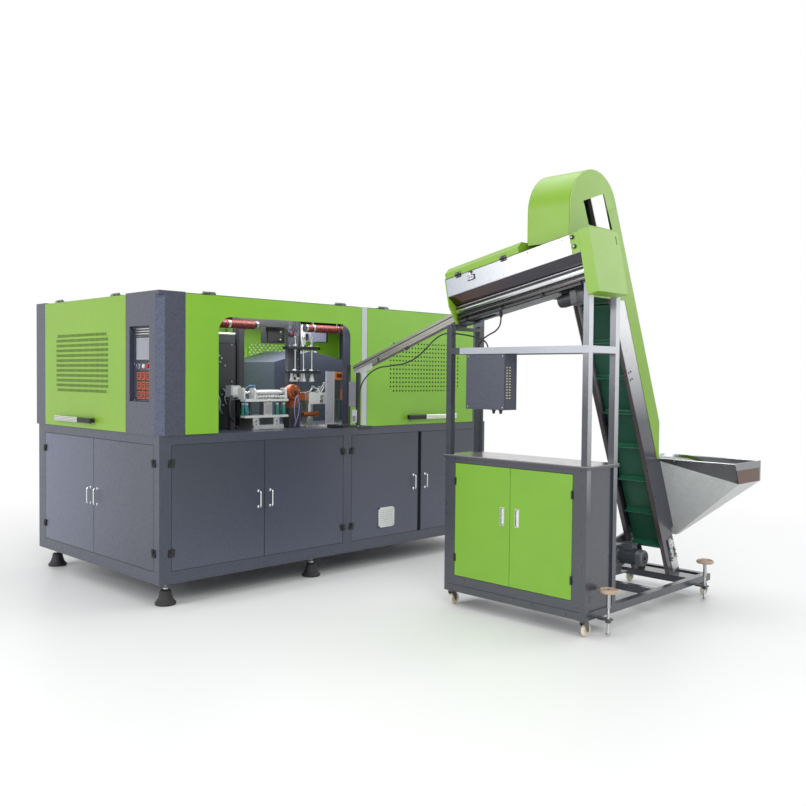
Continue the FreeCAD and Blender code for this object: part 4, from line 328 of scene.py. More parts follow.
class Shape:
    """Gathers closed forms into one mesh. Places are in millimetres, and `turn` may lay them along a slope."""

    def __init__(self, turn=None):
        self.points, self.faces, self.slots, self.turn = [], [], [], turn

    def add(self, points, faces, slot=0):
        start = len(self.points)
        self.points += [at(*(self.turn(Vector(p)) if self.turn else p)) for p in points]
        self.faces += [[start + i for i in face] for face in faces]
        self.slots += [slot] * len(faces)

    def box(self, x, y, z, slot=0):
        self.add(product(x, y, z), BOX_FACES, slot)

    def boxes(self, slot, *rows):
        """Boxes as rows of x0, x1, y0, y1, z0, z1."""
        for row in rows:
            self.box(row[:2], row[2:4], row[4:], slot)

    def border(self, outer, inner, depth, slot, inset=0.0):
        """Four bars round an opening, in width and height."""
        (a0, a1, b0, b1), (c0, c1, d0, d1) = outer, inner
        for a, b, c, d in ((a0, a1, b0, d0), (a0, a1, d1, b1), (a0, c0, d0, d1), (c1, a1, d0, d1)):
            self.box((a + inset, b - inset), depth, (c + inset, d - inset), slot)

    def prism(self, outline, axis, low, high, slot=0):
        """An outline in the two other axes, in their x, y, z order, drawn out along one axis."""
        n = len(outline)
        faces = [(i, (i + 1) % n, n + (i + 1) % n, n + i) for i in range(n)]
        points = [ORDER[axis](a, b, t) for t in (low, high) for a, b in outline]
        self.add(points, faces + [range(n)[::-1], range(n, 2 * n)], slot)

    def plate(self, outer, holes, axis, low, high, slot=0):
        """A prism that may be hollowed by openings."""
        loops = [outer] + list(holes)
        triangles = tessellate_polygon([[Vector((a, b, 0)) for a, b in loop] for loop in loops])
        n, start = sum(map(len, loops)), 0
        faces = [tuple(t) for t in triangles] + [tuple(n + i for i in reversed(t)) for t in triangles]
        for loop in loops:
            m = len(loop)
            faces += [(start + i, start + (i + 1) % m, n + start + (i + 1) % m, n + start + i) for i in range(m)]
            start += m
        self.add([ORDER[axis](a, b, t) for t in (low, high) for loop in loops for a, b in loop], faces, slot)

    def sweep(self, rings, slot, closed):
        """The skin over rings of one count, with or without its two ends."""
        n = len(rings[0])
        last = (len(rings) - 1) * n
        faces = [(b + k, b + (k + 1) % n, b + n + (k + 1) % n, b + n + k) for b in range(0, last, n) for k in range(n)]
        if closed:
            faces += [range(n)[::-1], range(last, last + n)]
        self.add([p for ring in rings for p in ring], faces, slot)

    def lathe(self, centre, axis, profile, count=32, slot=0):
        """Radius and height pairs turned round an axis. A profile that ends where it starts makes a ring."""
        c = Vector(centre)
        rings = [[c + Vector(ORDER[axis](*polar(r, 360.0 * k / count), h)) for k in range(count)] for r, h in profile]
        self.sweep(rings, slot, profile[0] != profile[-1])

    def lathes(self, centres, *form):
        for centre in centres:
            self.lathe(centre, *form)

    def ring(self, centre, axis, inner, outer, low, high, count=28, slot=0):
        self.lathe(centre, axis, [(inner, low), (outer, low), (outer, high), (inner, high), (inner, low)], count, slot)

    def tube(self, path, radius, count=12, slot=0):
        """A round tube along points, with closed ends and one radius or one for each point."""
        path = [Vector(p) for p in path]
        radii = radius if isinstance(radius, list) else [radius] * len(path)
        rings, u = [], None
        for i, (p, r) in enumerate(zip(path, radii)):
            along = (path[min(i + 1, len(path) - 1)] - path[max(i - 1, 0)]).normalized()
            u = along.orthogonal().normalized() if u is None else (u - along * u.dot(along)).normalized()
            v = along.cross(u)
            rings.append([p + u * a + v * b for a, b in (polar(r, 360.0 * k / count) for k in range(count))])
        self.sweep(rings, slot, True)

    def rod(self, a, b, radius, count=16, slot=0, chamfer=0.0):
        """A round bar between two points."""
        a, b = Vector(a), Vector(b)
        if chamfer:
            c = (b - a).normalized() * chamfer
            self.tube([a, a + c, b - c, b], [radius - chamfer, radius, radius, radius - chamfer], count, slot)
        else:
            self.tube([a, b], radius, count, slot)

    def piece(self, name, body, finishes, slot, replaces=(), bevel=0.0, sharp=38.0):
        mesh = bpy.data.meshes.new(name)
        mesh.from_pydata(self.points, [], self.faces)
        for one in finishes:
            mesh.materials.append(one)
        mesh.polygons.foreach_set("material_index", self.slots)
        bm = bmesh.new()
        bm.from_mesh(mesh)
        bmesh.ops.recalc_face_normals(bm, faces=bm.faces)
        bm.to_mesh(mesh)
        bm.free()
        mesh.shade_smooth()
        obj = link(bpy.data.objects.new(name, mesh))
        if bevel:
            mod = obj.modifiers.new("edges", "BEVEL")
            mod.width = bevel / 1000.0
            mod.segments = 2
            mod.limit_method = "ANGLE"
            mod.angle_limit = math.radians(40)
            mod.harden_normals = True
        else:
            mesh.set_sharp_from_angle(angle=math.radians(sharp))
        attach(obj, body)
        if replaces:
            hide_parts(*replaces)

    def skin(self, node, finishes, slot, bevel=0.0):
        """The piece that stands for one node which moves by itself."""
        self.piece(node + "_skin", node, finishes, slot, [node], bevel)


# ------------------------------------------------------------------ cords
jacket = material("cable_jacket", RUBBER)


def cord(name, points, replaced):
    curve = bpy.data.curves.new(name, "CURVE")
    curve.dimensions = "3D"
    curve.bevel_depth = 0.0048
    curve.bevel_resolution = 3
    curve.use_fill_caps = True
    spline = curve.splines.new("NURBS")
    spline.points.add(len(points) - 1)
    for point, place in zip(spline.points, points):
        point.co = (*at(*place), 1.0)
    spline.order_u = 3
    spline.use_endpoint_u = True
    spline.resolution_u = 8
    curve.materials.append(jacket)
    obj = link(bpy.data.objects.new(name, curve))
    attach(obj, "line")
    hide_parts(replaced)


cord("chute_cable_line", [
    (1478, -1420, 1622), (1478, -1420, 1682), (1473, -1372, 1718), (1469, -1270, 1742), (1469, -1160, 1757),
    (1475, -1052, 1764), (1477, -962, 1728), (1476, -882, 1660), (1475, -792, 1600), (1477, -682, 1562),
    (1476, -552, 1549), (1474, -428, 1540), (1466, -338, 1496), (1450, -282, 1432), (1445, -260, 1352),
    (1439, -252, 1268), (1441, -246, 1184), (1441, -246, 1116)], "chute_cable")
cord("sorter_cable_line", [
    (1500, -1318, 1622), (1500, -1318, 1674), (1499, -1354, 1718), (1501, -1406, 1746), (1500, -1462, 1766),
    (1500, -1500, 1806), (1500, -1500, 1856)], "sorter_cable")


# ------------------------------------------------------------------ finishes
def zone(x0, x1, y0, y1, z0, z1):
    return at(x0, y0, z0), at(x1, y1, z1)


hammer = material("slate_hammer", GREY, wear=0.12)
green = material("green_coat", GREEN, wear=0.12)
soft_green = material("green_soft", GREEN, wear=0.12, colour=times(GREEN["colour"], 1.0, 0.86, 0.9))
# A darker copy of the green, for the cabinet doors only: painted shade.
cabinet_green_shaded = material("green_cabinet_shaded", GREEN, wear=0.1, colour=times(GREEN["colour"], 0.88))
steel = material("stainless_sheet", STEEL)
bright = material("bright_sheet", BRIGHT)
black = material("black_parts", look("plastic", (0.016, 0.016, 0.018), 0.38))
zinc = material("zinc_plate", ZINC)
chrome = material("chrome_parts", CHROME)
white = material("white", WHITE)
turned = material("turned", look("brushed", (0.50, 0.51, 0.52), 0.26, 1.0, stretch=(1.0, 1.0, 0.05)))
dark = material("dark_case", DARK)
rubber = material("rubber_parts", RUBBER)
roller = material("roller", look("brushed", (0.62, 0.63, 0.64), 0.18, 1.0, stretch=(30.0, 0.6, 1.0)))
red = material("red_button", look("plastic", srgb(178, 28, 22), 0.25))
hose = material("hose", look("rubber", srgb(104, 36, 32), 0.42))
handle_pale = material("handle_pale", ALU, colour=(0.70, 0.73, 0.66))
knuckle = material("knuckle_grey", FRAME_GREY, colour=srgb(104, 108, 112))

# The solids that show.
for node, finish in {
    "base_frame": hammer, "roof_sheet": hammer, "enclosure_panels": green, "elevator_cover": soft_green,
    "sorter_ends": soft_green, "head_drum": roller, "tail_drum": roller,
    "control_column": material(
        "column_hammer", GREY,
        (dict(GREY, grain=70.0, contrast=(1.3, 0.86), colour=srgb(78, 85, 106), rough=0.3),
         zone(-11.2, 60, -11.2, 60, 1085, 2005)), wear=0.1, grain=80.0, contrast=(1.22, 0.84), rough=0.34),
    "enclosure_frame": material("enclosure_grey", GREY, (SILVER, zone(1690, 1750, -15, 40, 1080, 2005))),
    "window_door": material("window_green", GREEN, (dict(GREY, colour=srgb(96, 100, 106)),
                                                    zone(150, 1720, -40, 60, 1992.5, 2020))),
    "oven_cover": material("oven_grey", GREY, colour=srgb(74, 78, 96)),
    # The posts' near faces fade to near white towards the top, and the frame lightens towards the top on its near side:
    # painted reflections of the glossy paint.
    "feeder_frame": material(
        "post_paint_with_painted_reflection", FRAME_GREY,
        (dict(FRAME_GREY, fade=(2, 0.7, 1.7, srgb(218, 220, 226))), zone(1380, 3000, -2201, -2199.2, 90, 2030)),
        (dict(FRAME_GREY, colour=srgb(172, 176, 186)), zone(1410, 1412, -2201, -1240, 1621, 1663)),
        fade=(2, 1.3, 2.1, srgb(150, 153, 164)), gate=(1, -0.95, -1.6)),
    "feeder_cabinet": material("cabinet_paint", FRAME_GREY, (dict(FRAME_GREY, colour=srgb(128, 124, 126), rough=0.22),
                                                             zone(1380, 1760, -2230, -1100, 974, 985))),
    # The channels' brownish tone and their webs fading to near white towards the top are painted reflections of the
    # glossy paint.
    "elevator_frame": material(
        "channel_paint_with_painted_reflection", FRAME_GREY,
        (dict(FRAME_GREY, fade=(2, 1.2, 1.8, srgb(244, 244, 248))), zone(1500, 3000, -2032, -2025.9, 100, 2700),
         zone(1500, 3000, -1744.1, -1738, 100, 2700)), colour=srgb(84, 74, 74)),
    "hopper_bin": material("galvanised", look("spangle", (0.66, 0.675, 0.675), 0.46, 0.15)),
    # The rim's near face is tinted brown: a painted reflection in the mirror steel.
    "hopper_rim": material(
        "rim_mirror", BRIGHT, (dict(BRIGHT, colour=(0.13, 0.085, 0.065), rough=0.12),
                               zone(2560, 2900, -2546, -2540, 818, 905)),
        colour=(0.26, 0.265, 0.28), rough=0.1, wave=0.003),
}.items():
    solid = NODES[node]
    if not solid.material_slots:
        solid.data.materials.append(finish)
    for slot in solid.material_slots:
        slot.material = finish


# ------------------------------------------------------------------ shared forms
def rounded(a0, a1, b0, b1, r, n=4):
    """A rectangle's outline with round corners."""
    corners = ((a1 - r, b1 - r, 0), (a0 + r, b1 - r, 90), (a0 + r, b0 + r, 180), (a1 - r, b0 + r, 270))
    return [polar(r, start + 90 * k / n, (a, b)) for a, b, start in corners for k in range(n + 1)]


def grid(x, y, z):
    """Every place of a grid. Each of x, y and z is one value or several."""
    return product(*(v if isinstance(v, (tuple, list, range)) else (v,) for v in (x, y, z)))


# A negative height points the other way.
def bolts(s, places, axis, radius, height, slot=0):
    """Hexagon heads with a chamfered top, on washers."""
    for c in places:
        s.lathe(c, axis, [(radius * 1.25, 0), (radius * 1.25, height * 0.2)], 20, slot)
        s.lathe(c, axis, [(radius, height * 0.2), (radius, height * 0.85), (radius * 0.86, height)], 6, slot)


def domes(s, places, axis, radius, height, slot=0):
    """Round-headed screws."""
    s.lathes(places, axis, [(radius, 0), (radius, height * 0.3), (radius * 0.8, height * 0.75),
                            (radius * 0.45, height), (radius * 0.42, height * 0.6)], 16, slot)


def caps(s, places, axis, radius, height, slot=3):
    """Socket heads: a cylinder with a hollow."""
    s.lathes(places, axis, [(radius, 0), (radius, height * 0.85), (radius * 0.9, height), (radius * 0.5, height),
                            (radius * 0.5, height * 0.45)], 16, slot)


def front_plane(u0, side=1, face=0.0):
    """Local width, outward and height to the machine's front."""
    return lambda p: (u0 + side * p.x, face - p.y, p.z)


def end_plane(u0, side=1, face=0.0):
    """The same for a face that looks towards -X."""
    return lambda p: (face - p.y, u0 + side * p.x, p.z)


def facing(hinge, free):
    return 1 if free > hinge else -1


def pan_leaf(s, u0, u1, z0, z1, depth, wall=2.0):
    """A folded sheet door: face, four returns and two stiffeners inside."""
    s.box((u0, u1), (-wall, 0), (z0, z1))
    for u in (u0, u1 - wall):
        s.box((u, u + wall), (-depth, -wall), (z0, z1))
    for z in (z0, z1 - wall):
        s.box((u0 + wall, u1 - wall), (-depth, -wall), (z, z + wall))
    for share in (0.3, 0.7):
        u = u0 + (u1 - u0) * share
        s.box((u - 14, u + 14), (-depth * 0.7, -wall), (z0 + 30, z1 - 30))


def barrel_span(z, upper):
    return (z + 0.5, z + 24) if upper else (z - 24, z - 0.5)


def block_hinge(s, z, upper, reach, slot, pin=7.5):
    """One half of a block hinge at local width 0: barrel half and leaf, the leaf towards `reach`."""
    low, high = barrel_span(z, upper)
    s.lathe((0, pin, 0), "z", [(5.5, low), (7.5, low + 1.5), (7.5, high - 1.5), (5.5, high)], 20, slot)
    s.box((0, reach), (0.3, pin + 1), (low, high), slot)
    s.box((math.copysign(9.0, reach), reach), (0.3, 4), (z - 24, z + 24), slot)
    domes(s, grid(reach * 0.72, 4, (z - 15, z + 15)), "y", 3.2, 1.6, slot)


def slim_hinge(s, z, upper):
    """One half of a slim barrel hinge, for the cabinet."""
    (low, high), slot = barrel_span(z, upper), 2 if upper else 0
    s.lathe((0, 5.5, 0), "z", [(4, low), (5.2, low + 1), (5.2, high - 1), (4, high)], 18, slot)
    s.box((0, 9 if upper else -9), (0.3, 3), (z - 24, z + 24) if upper else (low, high), slot)


# ------------------------------------------------------------------ base doors
HINGE_Z = (344, 914)
# Plane, hinge line and free edge.
BASE_DOORS = {
    "base_door_front_1": (front_plane, 87, 805.5), "base_door_front_2": (front_plane, 1524, 808.5),
    "base_door_front_3": (front_plane, 1609, 2327), "base_door_front_4": (front_plane, 3078, 2366),
    "base_door_end_near": (end_plane, 67, 881.5), "base_door_end_far": (end_plane, 1668, 884.5)}
# Door paint for each face, with painted sheen: the front doors are a lighter copy that darkens towards the top, and the
# end doors grow about twice as light towards +Y.
DOOR_PAINT_AND_SHEEN = {
    front_plane: material("door_hammer_painted_sheen", GREY, wear=0.1, colour=times(GREY["colour"], 1.34),
                          fade=(2, 0.23, 1.03, times(GREY["colour"], 0.74))),
    end_plane: material("end_hammer_painted_sheen", GREY, wear=0.1, colour=times(GREY["colour"], 0.98),
                        fade=(1, 0.7, 2.04, times(GREY["colour"], 2.1)))}


def c_pull(s, u, z, slot):
    """A round bar bent to a C, on two collars."""
    bends = [polar(10, a, (16, h)) for h, first in ((z - 44, -90), (z + 44, 0)) for a in range(first, first + 91, 18)]
    s.tube([(u, y, h) for y, h in [(-1, z - 54)] + bends + [(-1, z + 54)]], 5.2, 14, slot)
    s.lathes(grid(u, 0, (z - 54, z + 54)), "y", [(10, 0.3), (10, 2), (8, 4.5)], 20, slot)


def louvre(s, u0, u1, z0, z1, count=9):
    """A white moulded grille with sloping slats."""
    s.boxes(3, (u0, u0 + 12, 0, 8, z0, z1), (u1 - 12, u1, 0, 8, z0, z1), (u0, u1, 0, 8, z0, z0 + 11),
            (u0, u1, 0, 8, z1 - 11, z1))
    s.box((u0 + 6, u1 - 6), (0.2, 1.0), (z0 + 6, z1 - 6), 2)
    pitch = (z1 - z0 - 22) / count
    for k in range(count):
        z = z0 + 11 + k * pitch
        s.prism([(1.2, z + pitch * 0.75), (1.2, z + pitch * 0.95), (7.2, z + pitch * 0.34), (7.2, z + pitch * 0.12)],
                "x", u0 + 10, u1 - 10, 3)


for node, (plane, hinge, free) in BASE_DOORS.items():
    s, width = Shape(plane(hinge, facing(hinge, free))), abs(free - hinge)
    pan_leaf(s, 1.6, width - 1.6, 230.6, 1027.4, 18)
    c_pull(s, width - 48, 628, 1)
    for z in HINGE_Z:
        block_hinge(s, z, True, 22, 2)
    if node == "base_door_front_3":
        louvre(s, 282, 449, 299, 453)
    s.skin(node, [DOOR_PAINT_AND_SHEEN[plane], chrome, black, white], "grey")


# ------------------------------------------------------------------ lift doors
LIFT_FACE = -12.0
LIFT_Z = (1093, 1992)
ROOF_Z = 2008


def pierced(s, us, zs, holes, face, back):
    """A sheet on a grid of lines, open in the cells named in `holes`."""
    nu, nz = len(us), len(zs)

    def index(side, i, j):
        return side * nu * nz + i * nz + j

    def solid(i, j):
        return 0 <= i < nu - 1 and 0 <= j < nz - 1 and (i, j) not in holes

    faces = []
    for i, j in product(range(nu - 1), range(nz - 1)):
        if not solid(i, j):
            continue
        corners = [(i, j), (i + 1, j), (i + 1, j + 1), (i, j + 1)]
        faces += [[index(side, *c) for c in corners] for side in (0, 1)]
        for k, (di, dj) in enumerate(((0, -1), (1, 0), (0, 1), (-1, 0))):
            if not solid(i + di, j + dj):
                a, b = corners[k], corners[(k + 1) % 4]
                faces.append((index(0, *a), index(0, *b), index(1, *b), index(1, *a)))
    s.add([(u, w, z) for w in (face, back) for u in us for z in zs], faces)


def vented_leaf(s, u0, u1, field, hole, count):
    """A lift door's sheet with a field of holes but at its corners, its returns and its frame inside."""
    (f0, f1), (g0, g1) = field
    z0, z1 = LIFT_Z
    us, zs = [u0], [z0]
    for lines, (low, high), size, n in zip((us, zs), field, hole, count):
        for i in range(n):
            c = low + (high - low) * i / (n - 1)
            lines += [c - size / 2, c + size / 2]
    holes = set(product(range(1, 2 * count[0], 2), range(1, 2 * count[1], 2)))
    holes -= set(product((1, 2 * count[0] - 1), (1, 2 * count[1] - 1)))
    pierced(s, us + [u1], zs + [z1], holes, 0, -2)
    for u in (u0, u1 - 2):
        s.box((u, u + 2), (-40, -2), (z0, z1))
    for z in (z0, z1 - 2):
        s.box((u0 + 2, u1 - 2), (-40, -2), (z, z + 2))
    for z in (z0 + 60, g1 + 80):
        s.box((u0 + 2, u1 - 2), (-24, -2), (z, z + 30))
    for u in (f0 - 90, f1 + 60):
        s.box((u, u + 30), (-24, -2), (z0 + 90, g1 + 80))
    # A black sheet behind the field of holes, so they read dark: painted shade of the inside of the door.
    s.box((f0 - 30, f1 + 30), (-9, -6), (g0 - 24, g1 + 24), 1)
    for c in grid(field[0], 0, field[1]):
        s.ring(c, "y", 12.5, 15.5, -0.5, 1.0)
    domes(s, grid(field[0], 0, field[1]), "y", 4, 2, 2)


def long_handle(s, low, grip, high):
    """A bar handle: a ribbed black grip, an extruded rail with three grooves, and two feet."""
    s.prism(rounded(30.5, 45.5, 1133.5, 1170.5, 5), "x", grip, high, 3)
    s.boxes(1, *((grip + 2, high - 2, 45.2, 46, z - 1.2, z + 1.2) for z in (1142, 1152, 1162)))
    s.prism(rounded(30, 46, 1133, 1171, 6), "x", low, grip, 1)
    for k in range(7):
        u = low + (grip - low) * (k + 0.5) / 7
        s.prism(rounded(29.8, 46, 1132.8, 1171.2, 6), "x", u - 4, u + 4, 1)
    for u in (low + 35, high - 35):
        s.boxes(1, (u - 14, u + 14, 0.2, 31, 1140, 1164), (u - 18, u + 18, 0.2, 3, 1136, 1168))


def lift_knuckles(s, low, high, moving):
    """Barrel halves over the roof's edge, with a leaf and screws."""
    for middle in (low + 190, high - 190):
        a, b = (middle + 0.5, middle + 45) if moving else (middle - 45, middle - 0.5)
        s.lathe((0, -30, ROOF_Z), "x", [(6.5, a), (8.8, a + 1.5), (8.8, b - 1.5), (6.5, b)], 24, 4 if moving else 1)
        if moving:
            s.box((a, b), (-24, -14), (1992, ROOF_Z), 4)
        else:
            s.box((a, b), (-64, -30), (2000.2, 2003.2), 1)
            domes(s, grid((a + b) / 2, (-48, -58), 2003.2), "z", 4, 2, 1)


for node, plane, paint, span, field, hole, count, handle in (
        ("vent_door", front_plane, green, (1749, 2987), ((1998, 2790), (1362, 1735)), (14, 14), (24, 12),
         (2174, 2366, 2734)),
        ("end_door", end_plane, soft_green, (407, 1645), ((655, 1440), (1355, 1745)), (11.5, 20), (44, 12),
         (827, 1020, 1388))):
    s = Shape(plane(0, 1, LIFT_FACE))
    vented_leaf(s, *span, field, hole, count)
    long_handle(s, *handle)
    lift_knuckles(s, *span, True)
    s.skin(node, [paint, black, steel, handle_pale, knuckle], "green")


# ------------------------------------------------------------------ fixed hinge halves and painted shade in the door gaps
CABINET_FACE = 1411.0
CABINET_HINGE_Z = (322, 813)
CABINET_DOORS = {"cabinet_door_near": (-2105, -1659.5), "cabinet_door_far": (-1217, -1656.5)}
s = Shape()
for plane, hinge, free in BASE_DOORS.values():
    s.turn = plane(hinge, facing(hinge, free))
    for z in HINGE_Z:
        block_hinge(s, z, False, -22, 0)
for plane, low, high in ((front_plane, 178, 1689), (front_plane, 1749, 2987), (end_plane, 407, 1645)):
    s.turn = plane(0, 1, LIFT_FACE)
    lift_knuckles(s, low, high, False)
for hinge, free in CABINET_DOORS.values():
    s.turn = end_plane(hinge, facing(hinge, free), CABINET_FACE)
    for z in CABINET_HINGE_Z:
        slim_hinge(s, z, False)
s.piece("fixed_hinges", "line", [black, knuckle], "black", ["door_hinges"])

# Black strips recessed in the base doors' gaps: painted shade, standing in for the dark of the gaps.
s = Shape()
for plane, hinge, free in BASE_DOORS.values():
    s.turn = plane(0, 1)
    u0, u1 = sorted((hinge, free))
    s.boxes(0, (u0 - 3.2, u0 + 1.5, -9, -1, 226, 1032), (u1 - 1.5, u1 + 1.6, -9, -1, 226, 1032),
            (u0, u1, -9, -1, 225.4, 230.5), (u0, u1, -9, -1, 1027.5, 1032.6))
s.piece("door_gap_painted_shade", "line", [rubber], "foot_rubber")


# ------------------------------------------------------------------ control panel
BUTTON_Z = 1528
STOP_Y, START_Y, SELECTOR_Y = 165, 232, 298
holes = [[polar(7.4, a, (u, BUTTON_Z)) for a in range(0, 360, 15)] for u in (STOP_Y, START_Y, SELECTOR_Y)]
s = Shape(end_plane(0, 1, 22.0))
s.plate(rounded(104.4, 354.6, 1300.4, 1782.6, 3), holes, "y", -3.6, 0)
s.border((106, 353, 1302, 1781), (112, 347, 1308, 1775), (0, 3), 0)
s.box((132, 327), (0.1, 1.2), (1728, 1773), 4)
for z in (1734, 1750.5, 1767):
    s.prism([(0, z - 4.5), (4.5, z - 3), (6, z + 1), (4, z + 4.5), (0, z + 4.5)], "x", 134, 325, 1)
# touch screen
s.prism(rounded(112, 306, 1565, 1722, 5), "y", 0, 9, 4)
s.prism(rounded(115, 303, 1568, 1719, 5), "y", 9, 12, 5)
s.box((118, 300), (12, 14), (1708, 1717), 4)
s.border((118, 300, 1571, 1708), (128, 290, 1583, 1697), (12, 14), 5)
s.box((128, 290), (11.5, 12.6), (1583, 1697), 6)
s.prism(rounded(114, 304, 1549, 1560, 3), "y", 0, 3.5, 4)
for u, inner, outer in ((STOP_Y, 17.2, 20.4), (START_Y, 11.5, 15), (SELECTOR_Y, 13.5, 16.5)):
    s.lathe((u, 0, BUTTON_Z), "y", [(inner, 0.2), (outer, 0.2), (outer, 2.6), (outer - 1, 3.6), (inner, 3.6),
                                    (inner, 0.2)], 32, 7)
s.box((117, 317), (0.1, 1.0), (1307, 1502), 4)
# temperature controllers
for u, z in product((172, 229, 286), (1341, 1402.5, 1464)):
    s.prism(rounded(u - 22, u + 22, z - 24, z + 24, 4), "y", 0, 4, 2)
    s.border((u - 22, u + 22, z - 24, z + 24), (u - 16, u + 16, z - 18, z + 18), (4, 6), 2, 0.6)
    s.box((u - 16, u + 16), (4, 4.6), (z - 18, z + 18), 4)
    s.box((u - 9, u + 9), (4.6, 5), (z + 4, z + 8), 2)
    for k in range(4):
        s.prism(rounded(u - 14 + k * 7.4, u - 9 + k * 7.4, z - 13, z - 9, 1.5, 2), "y", 4.6, 5.6, 2)
domes(s, grid((112, 347), 3, (1306, 1541, 1776)), "y", 3.6, 1.8, 7)
s.piece("instrument_plate", "line", [
    hammer, material("bar_pale", ALU, colour=(0.80, 0.80, 0.80), rough=0.34),
    material("meter_orange", look("plastic", srgb(204, 92, 54), 0.34)), dark, black,
    material("screen_frame", look("plastic", srgb(150, 156, 166), 0.3)),
    material("screen_glass", look("lit", srgb(138, 142, 152), 0.12, coat=0.8, coat_rough=0.05)),
    material("collar_steel", CHROME)], "black_plastic", ["control_panel"])

s = Shape()
s.lathe((22, STOP_Y, BUTTON_Z), "x", [(6, 3), (6, -6.6), (14.5, -7), (16.3, -9.5), (16.4, -13), (15.2, -16),
                                      (11.5, -18.4), (5, -19)], 40)
for a in (90, 210, 330):
    s.rod((3.2, *polar(8, a, (STOP_Y, BUTTON_Z))), (2.9, *polar(8, a + math.degrees(0.9), (STOP_Y, BUTTON_Z))), 1.3, 8)
s.piece("emergency_head", "emergency_stop", [red], "red_plastic", ["emergency_stop"])
s = Shape()
s.lathe((22, START_Y, BUTTON_Z), "x", [(6, 3), (6, -3.1), (10.9, -3.2), (10.9, -7), (9.8, -8.2), (8.4, -8.2),
                                       (8.0, -7.6), (4, -7.3)], 36)
s.piece("start_head", "start_button", [white], "white_plastic", ["start_button"])
s = Shape()
s.lathe((22, SELECTOR_Y, BUTTON_Z), "x", [(6, 3), (6, -0.6), (12.9, -0.8), (12.9, -4.5), (11.6, -6.4)], 40)
s.box((7.2, 15.7), (294.2, 301.8), (1516.4, 1539.6), 0)
s.box((7.0, 7.3), (297.0, 299.0), (1528, 1538), 1)
s.piece("selector_knob", "mode_selector", [material("knob_grey", look("plastic", srgb(96, 98, 104), 0.32)), white],
        "black_plastic", ["mode_selector"], bevel=0.9)


# ------------------------------------------------------------------ feet
def thread(low, high, first, second, pitch):
    """The two radii of a turned thread, by turns."""
    profile, z = [], low
    while z < high:
        profile += [(first, z), (second, z + pitch / 2)]
        z += pitch
    return profile


s = Shape()
for c in grid((100, 1300, 3065), (95, 1692), 0):
    s.lathe(c, "z", [(65, 0), (67, 3), (67, 13), (64, 18), (57, 24), (49, 38), (43, 54), (39, 70), (37, 84), (33, 93),
                     (25, 98), (14, 99)], 48, 0)
    s.lathe(c, "z", [(18, 99), (18, 109), (16, 111)], 6, 1)
    s.lathe(c, "z", thread(108.0, 144, 10, 8.9, 2.4) + [(10, 147.6)], 24, 1)
    s.lathe(c, "z", [(18, 132), (18, 144), (22, 144), (22, 147.6)], 6, 1)
s.piece("levelling_feet", "line", [rubber, turned], "foot_rubber", ["machine_feet"])


# ------------------------------------------------------------------ inside the window
station = [material("machined", look("brushed", (0.46, 0.47, 0.48), 0.30, 0.9)),
           material("plate_white", WHITE, colour=srgb(206, 208, 206)),
           material("air_teal", look("paint", srgb(22, 112, 102), 0.3)), turned, dark, black,
           material("copper_head", look("cast", srgb(150, 78, 40), 0.36, 0.6)),
           material("orange_block", look("paint", srgb(214, 140, 96), 0.38)),
           material("light_aluminium", ALU, colour=(0.66, 0.67, 0.68), rough=0.3),
           material("hose_blue", look("plastic", srgb(80, 130, 190), 0.3)),
           material("hose_lilac", look("plastic", srgb(150, 140, 190), 0.3)), chrome, red,
           material("servo_violet", look("paint", srgb(150, 152, 176), 0.34)),
           material("plate_grey", look("paint", srgb(176, 176, 188), 0.36)),
           material("mast_slate", look("paint", srgb(84, 86, 96), 0.34))]
MACH, WHT, TEAL, STL, DRK, BLK, COP, ORG, LALU, BLUE, LILAC, CHR, REDP, VIO, GRP, SLT = range(len(station))
NOZZLE_X = (1325, 1405, 1487)


def air_cylinder(s, c, axis, radius, low, high, slot, cap=STL):
    """A tube between two square-shouldered caps."""
    s.lathe(c, axis, [(radius * 0.86, low + 8), (radius * 0.86, high - 8)], 28, slot)
    for a, b in ((low, low + 9), (high - 9, high)):
        s.lathe(c, axis, [(radius * 0.94, a), (radius, a + 1), (radius, b - 1), (radius * 0.94, b)], 28, cap)


s = Shape()
# clamp housing
s.boxes(DRK, (470, 800, 350, 1500, 1090.2, 1150), (474, 796, 354, 1496, 1150, 1700), (470, 800, 350, 1500, 1700, 1760),
        (490, 780, 349.6, 354, 1180, 1420), (490, 780, 349.6, 354, 1440, 1680), (800, 812, 360, 480, 1200, 1690),
        *((520, 770, 347, 349.6, z, z + 26) for z in (1240, 1300, 1360)))
s.box((661, 801), (349, 352), (1764, 1776), WHT)
caps(s, grid((500, 635, 770), 350, (1165, 1430, 1690)), "y", 6, -5)
air_cylinder(s, (560, 347, 0), "z", 20, 1470, 1690, BLK, BLK)
s.lathes([(x, 347, z) for x, z in ((664, 1610), (684, 1592), (672, 1566), (712, 1540), (650, 1350), (690, 1338),
                                   (662, 1300), (700, 1262))], "y", [(7, 2.6), (7, -4), (4, -7)], 14, MACH)
s.tube([(640, 344, 1370), (652, 338, 1330), (668, 336, 1290), (664, 338, 1240), (690, 344, 1200)], 7, 12, MACH)
s.tube([(700, 344, 1380), (716, 336, 1350), (704, 334, 1310), (722, 338, 1270)], 5, 12, LALU)
# pale drive head on its post, beside the transfer table
s.prism([(700, 1322), (700, 1402), (772, 1402), (796, 1376), (796, 1322)], "y", 248, 320, GRP)
s.box((712, 780), (246, 248), (1336, 1392), WHT)
s.box((706, 744), (262, 306), (1090.3, 1322), DRK)
s.boxes(MACH, (702, 760, 258, 310, 1300, 1305), (702, 760, 258, 310, 1312, 1317))
s.tube([(706, 250, 1330), (690, 246, 1300), (684, 246, 1250), (690, 250, 1190), (730, 256, 1150)], 9, 14, DRK)
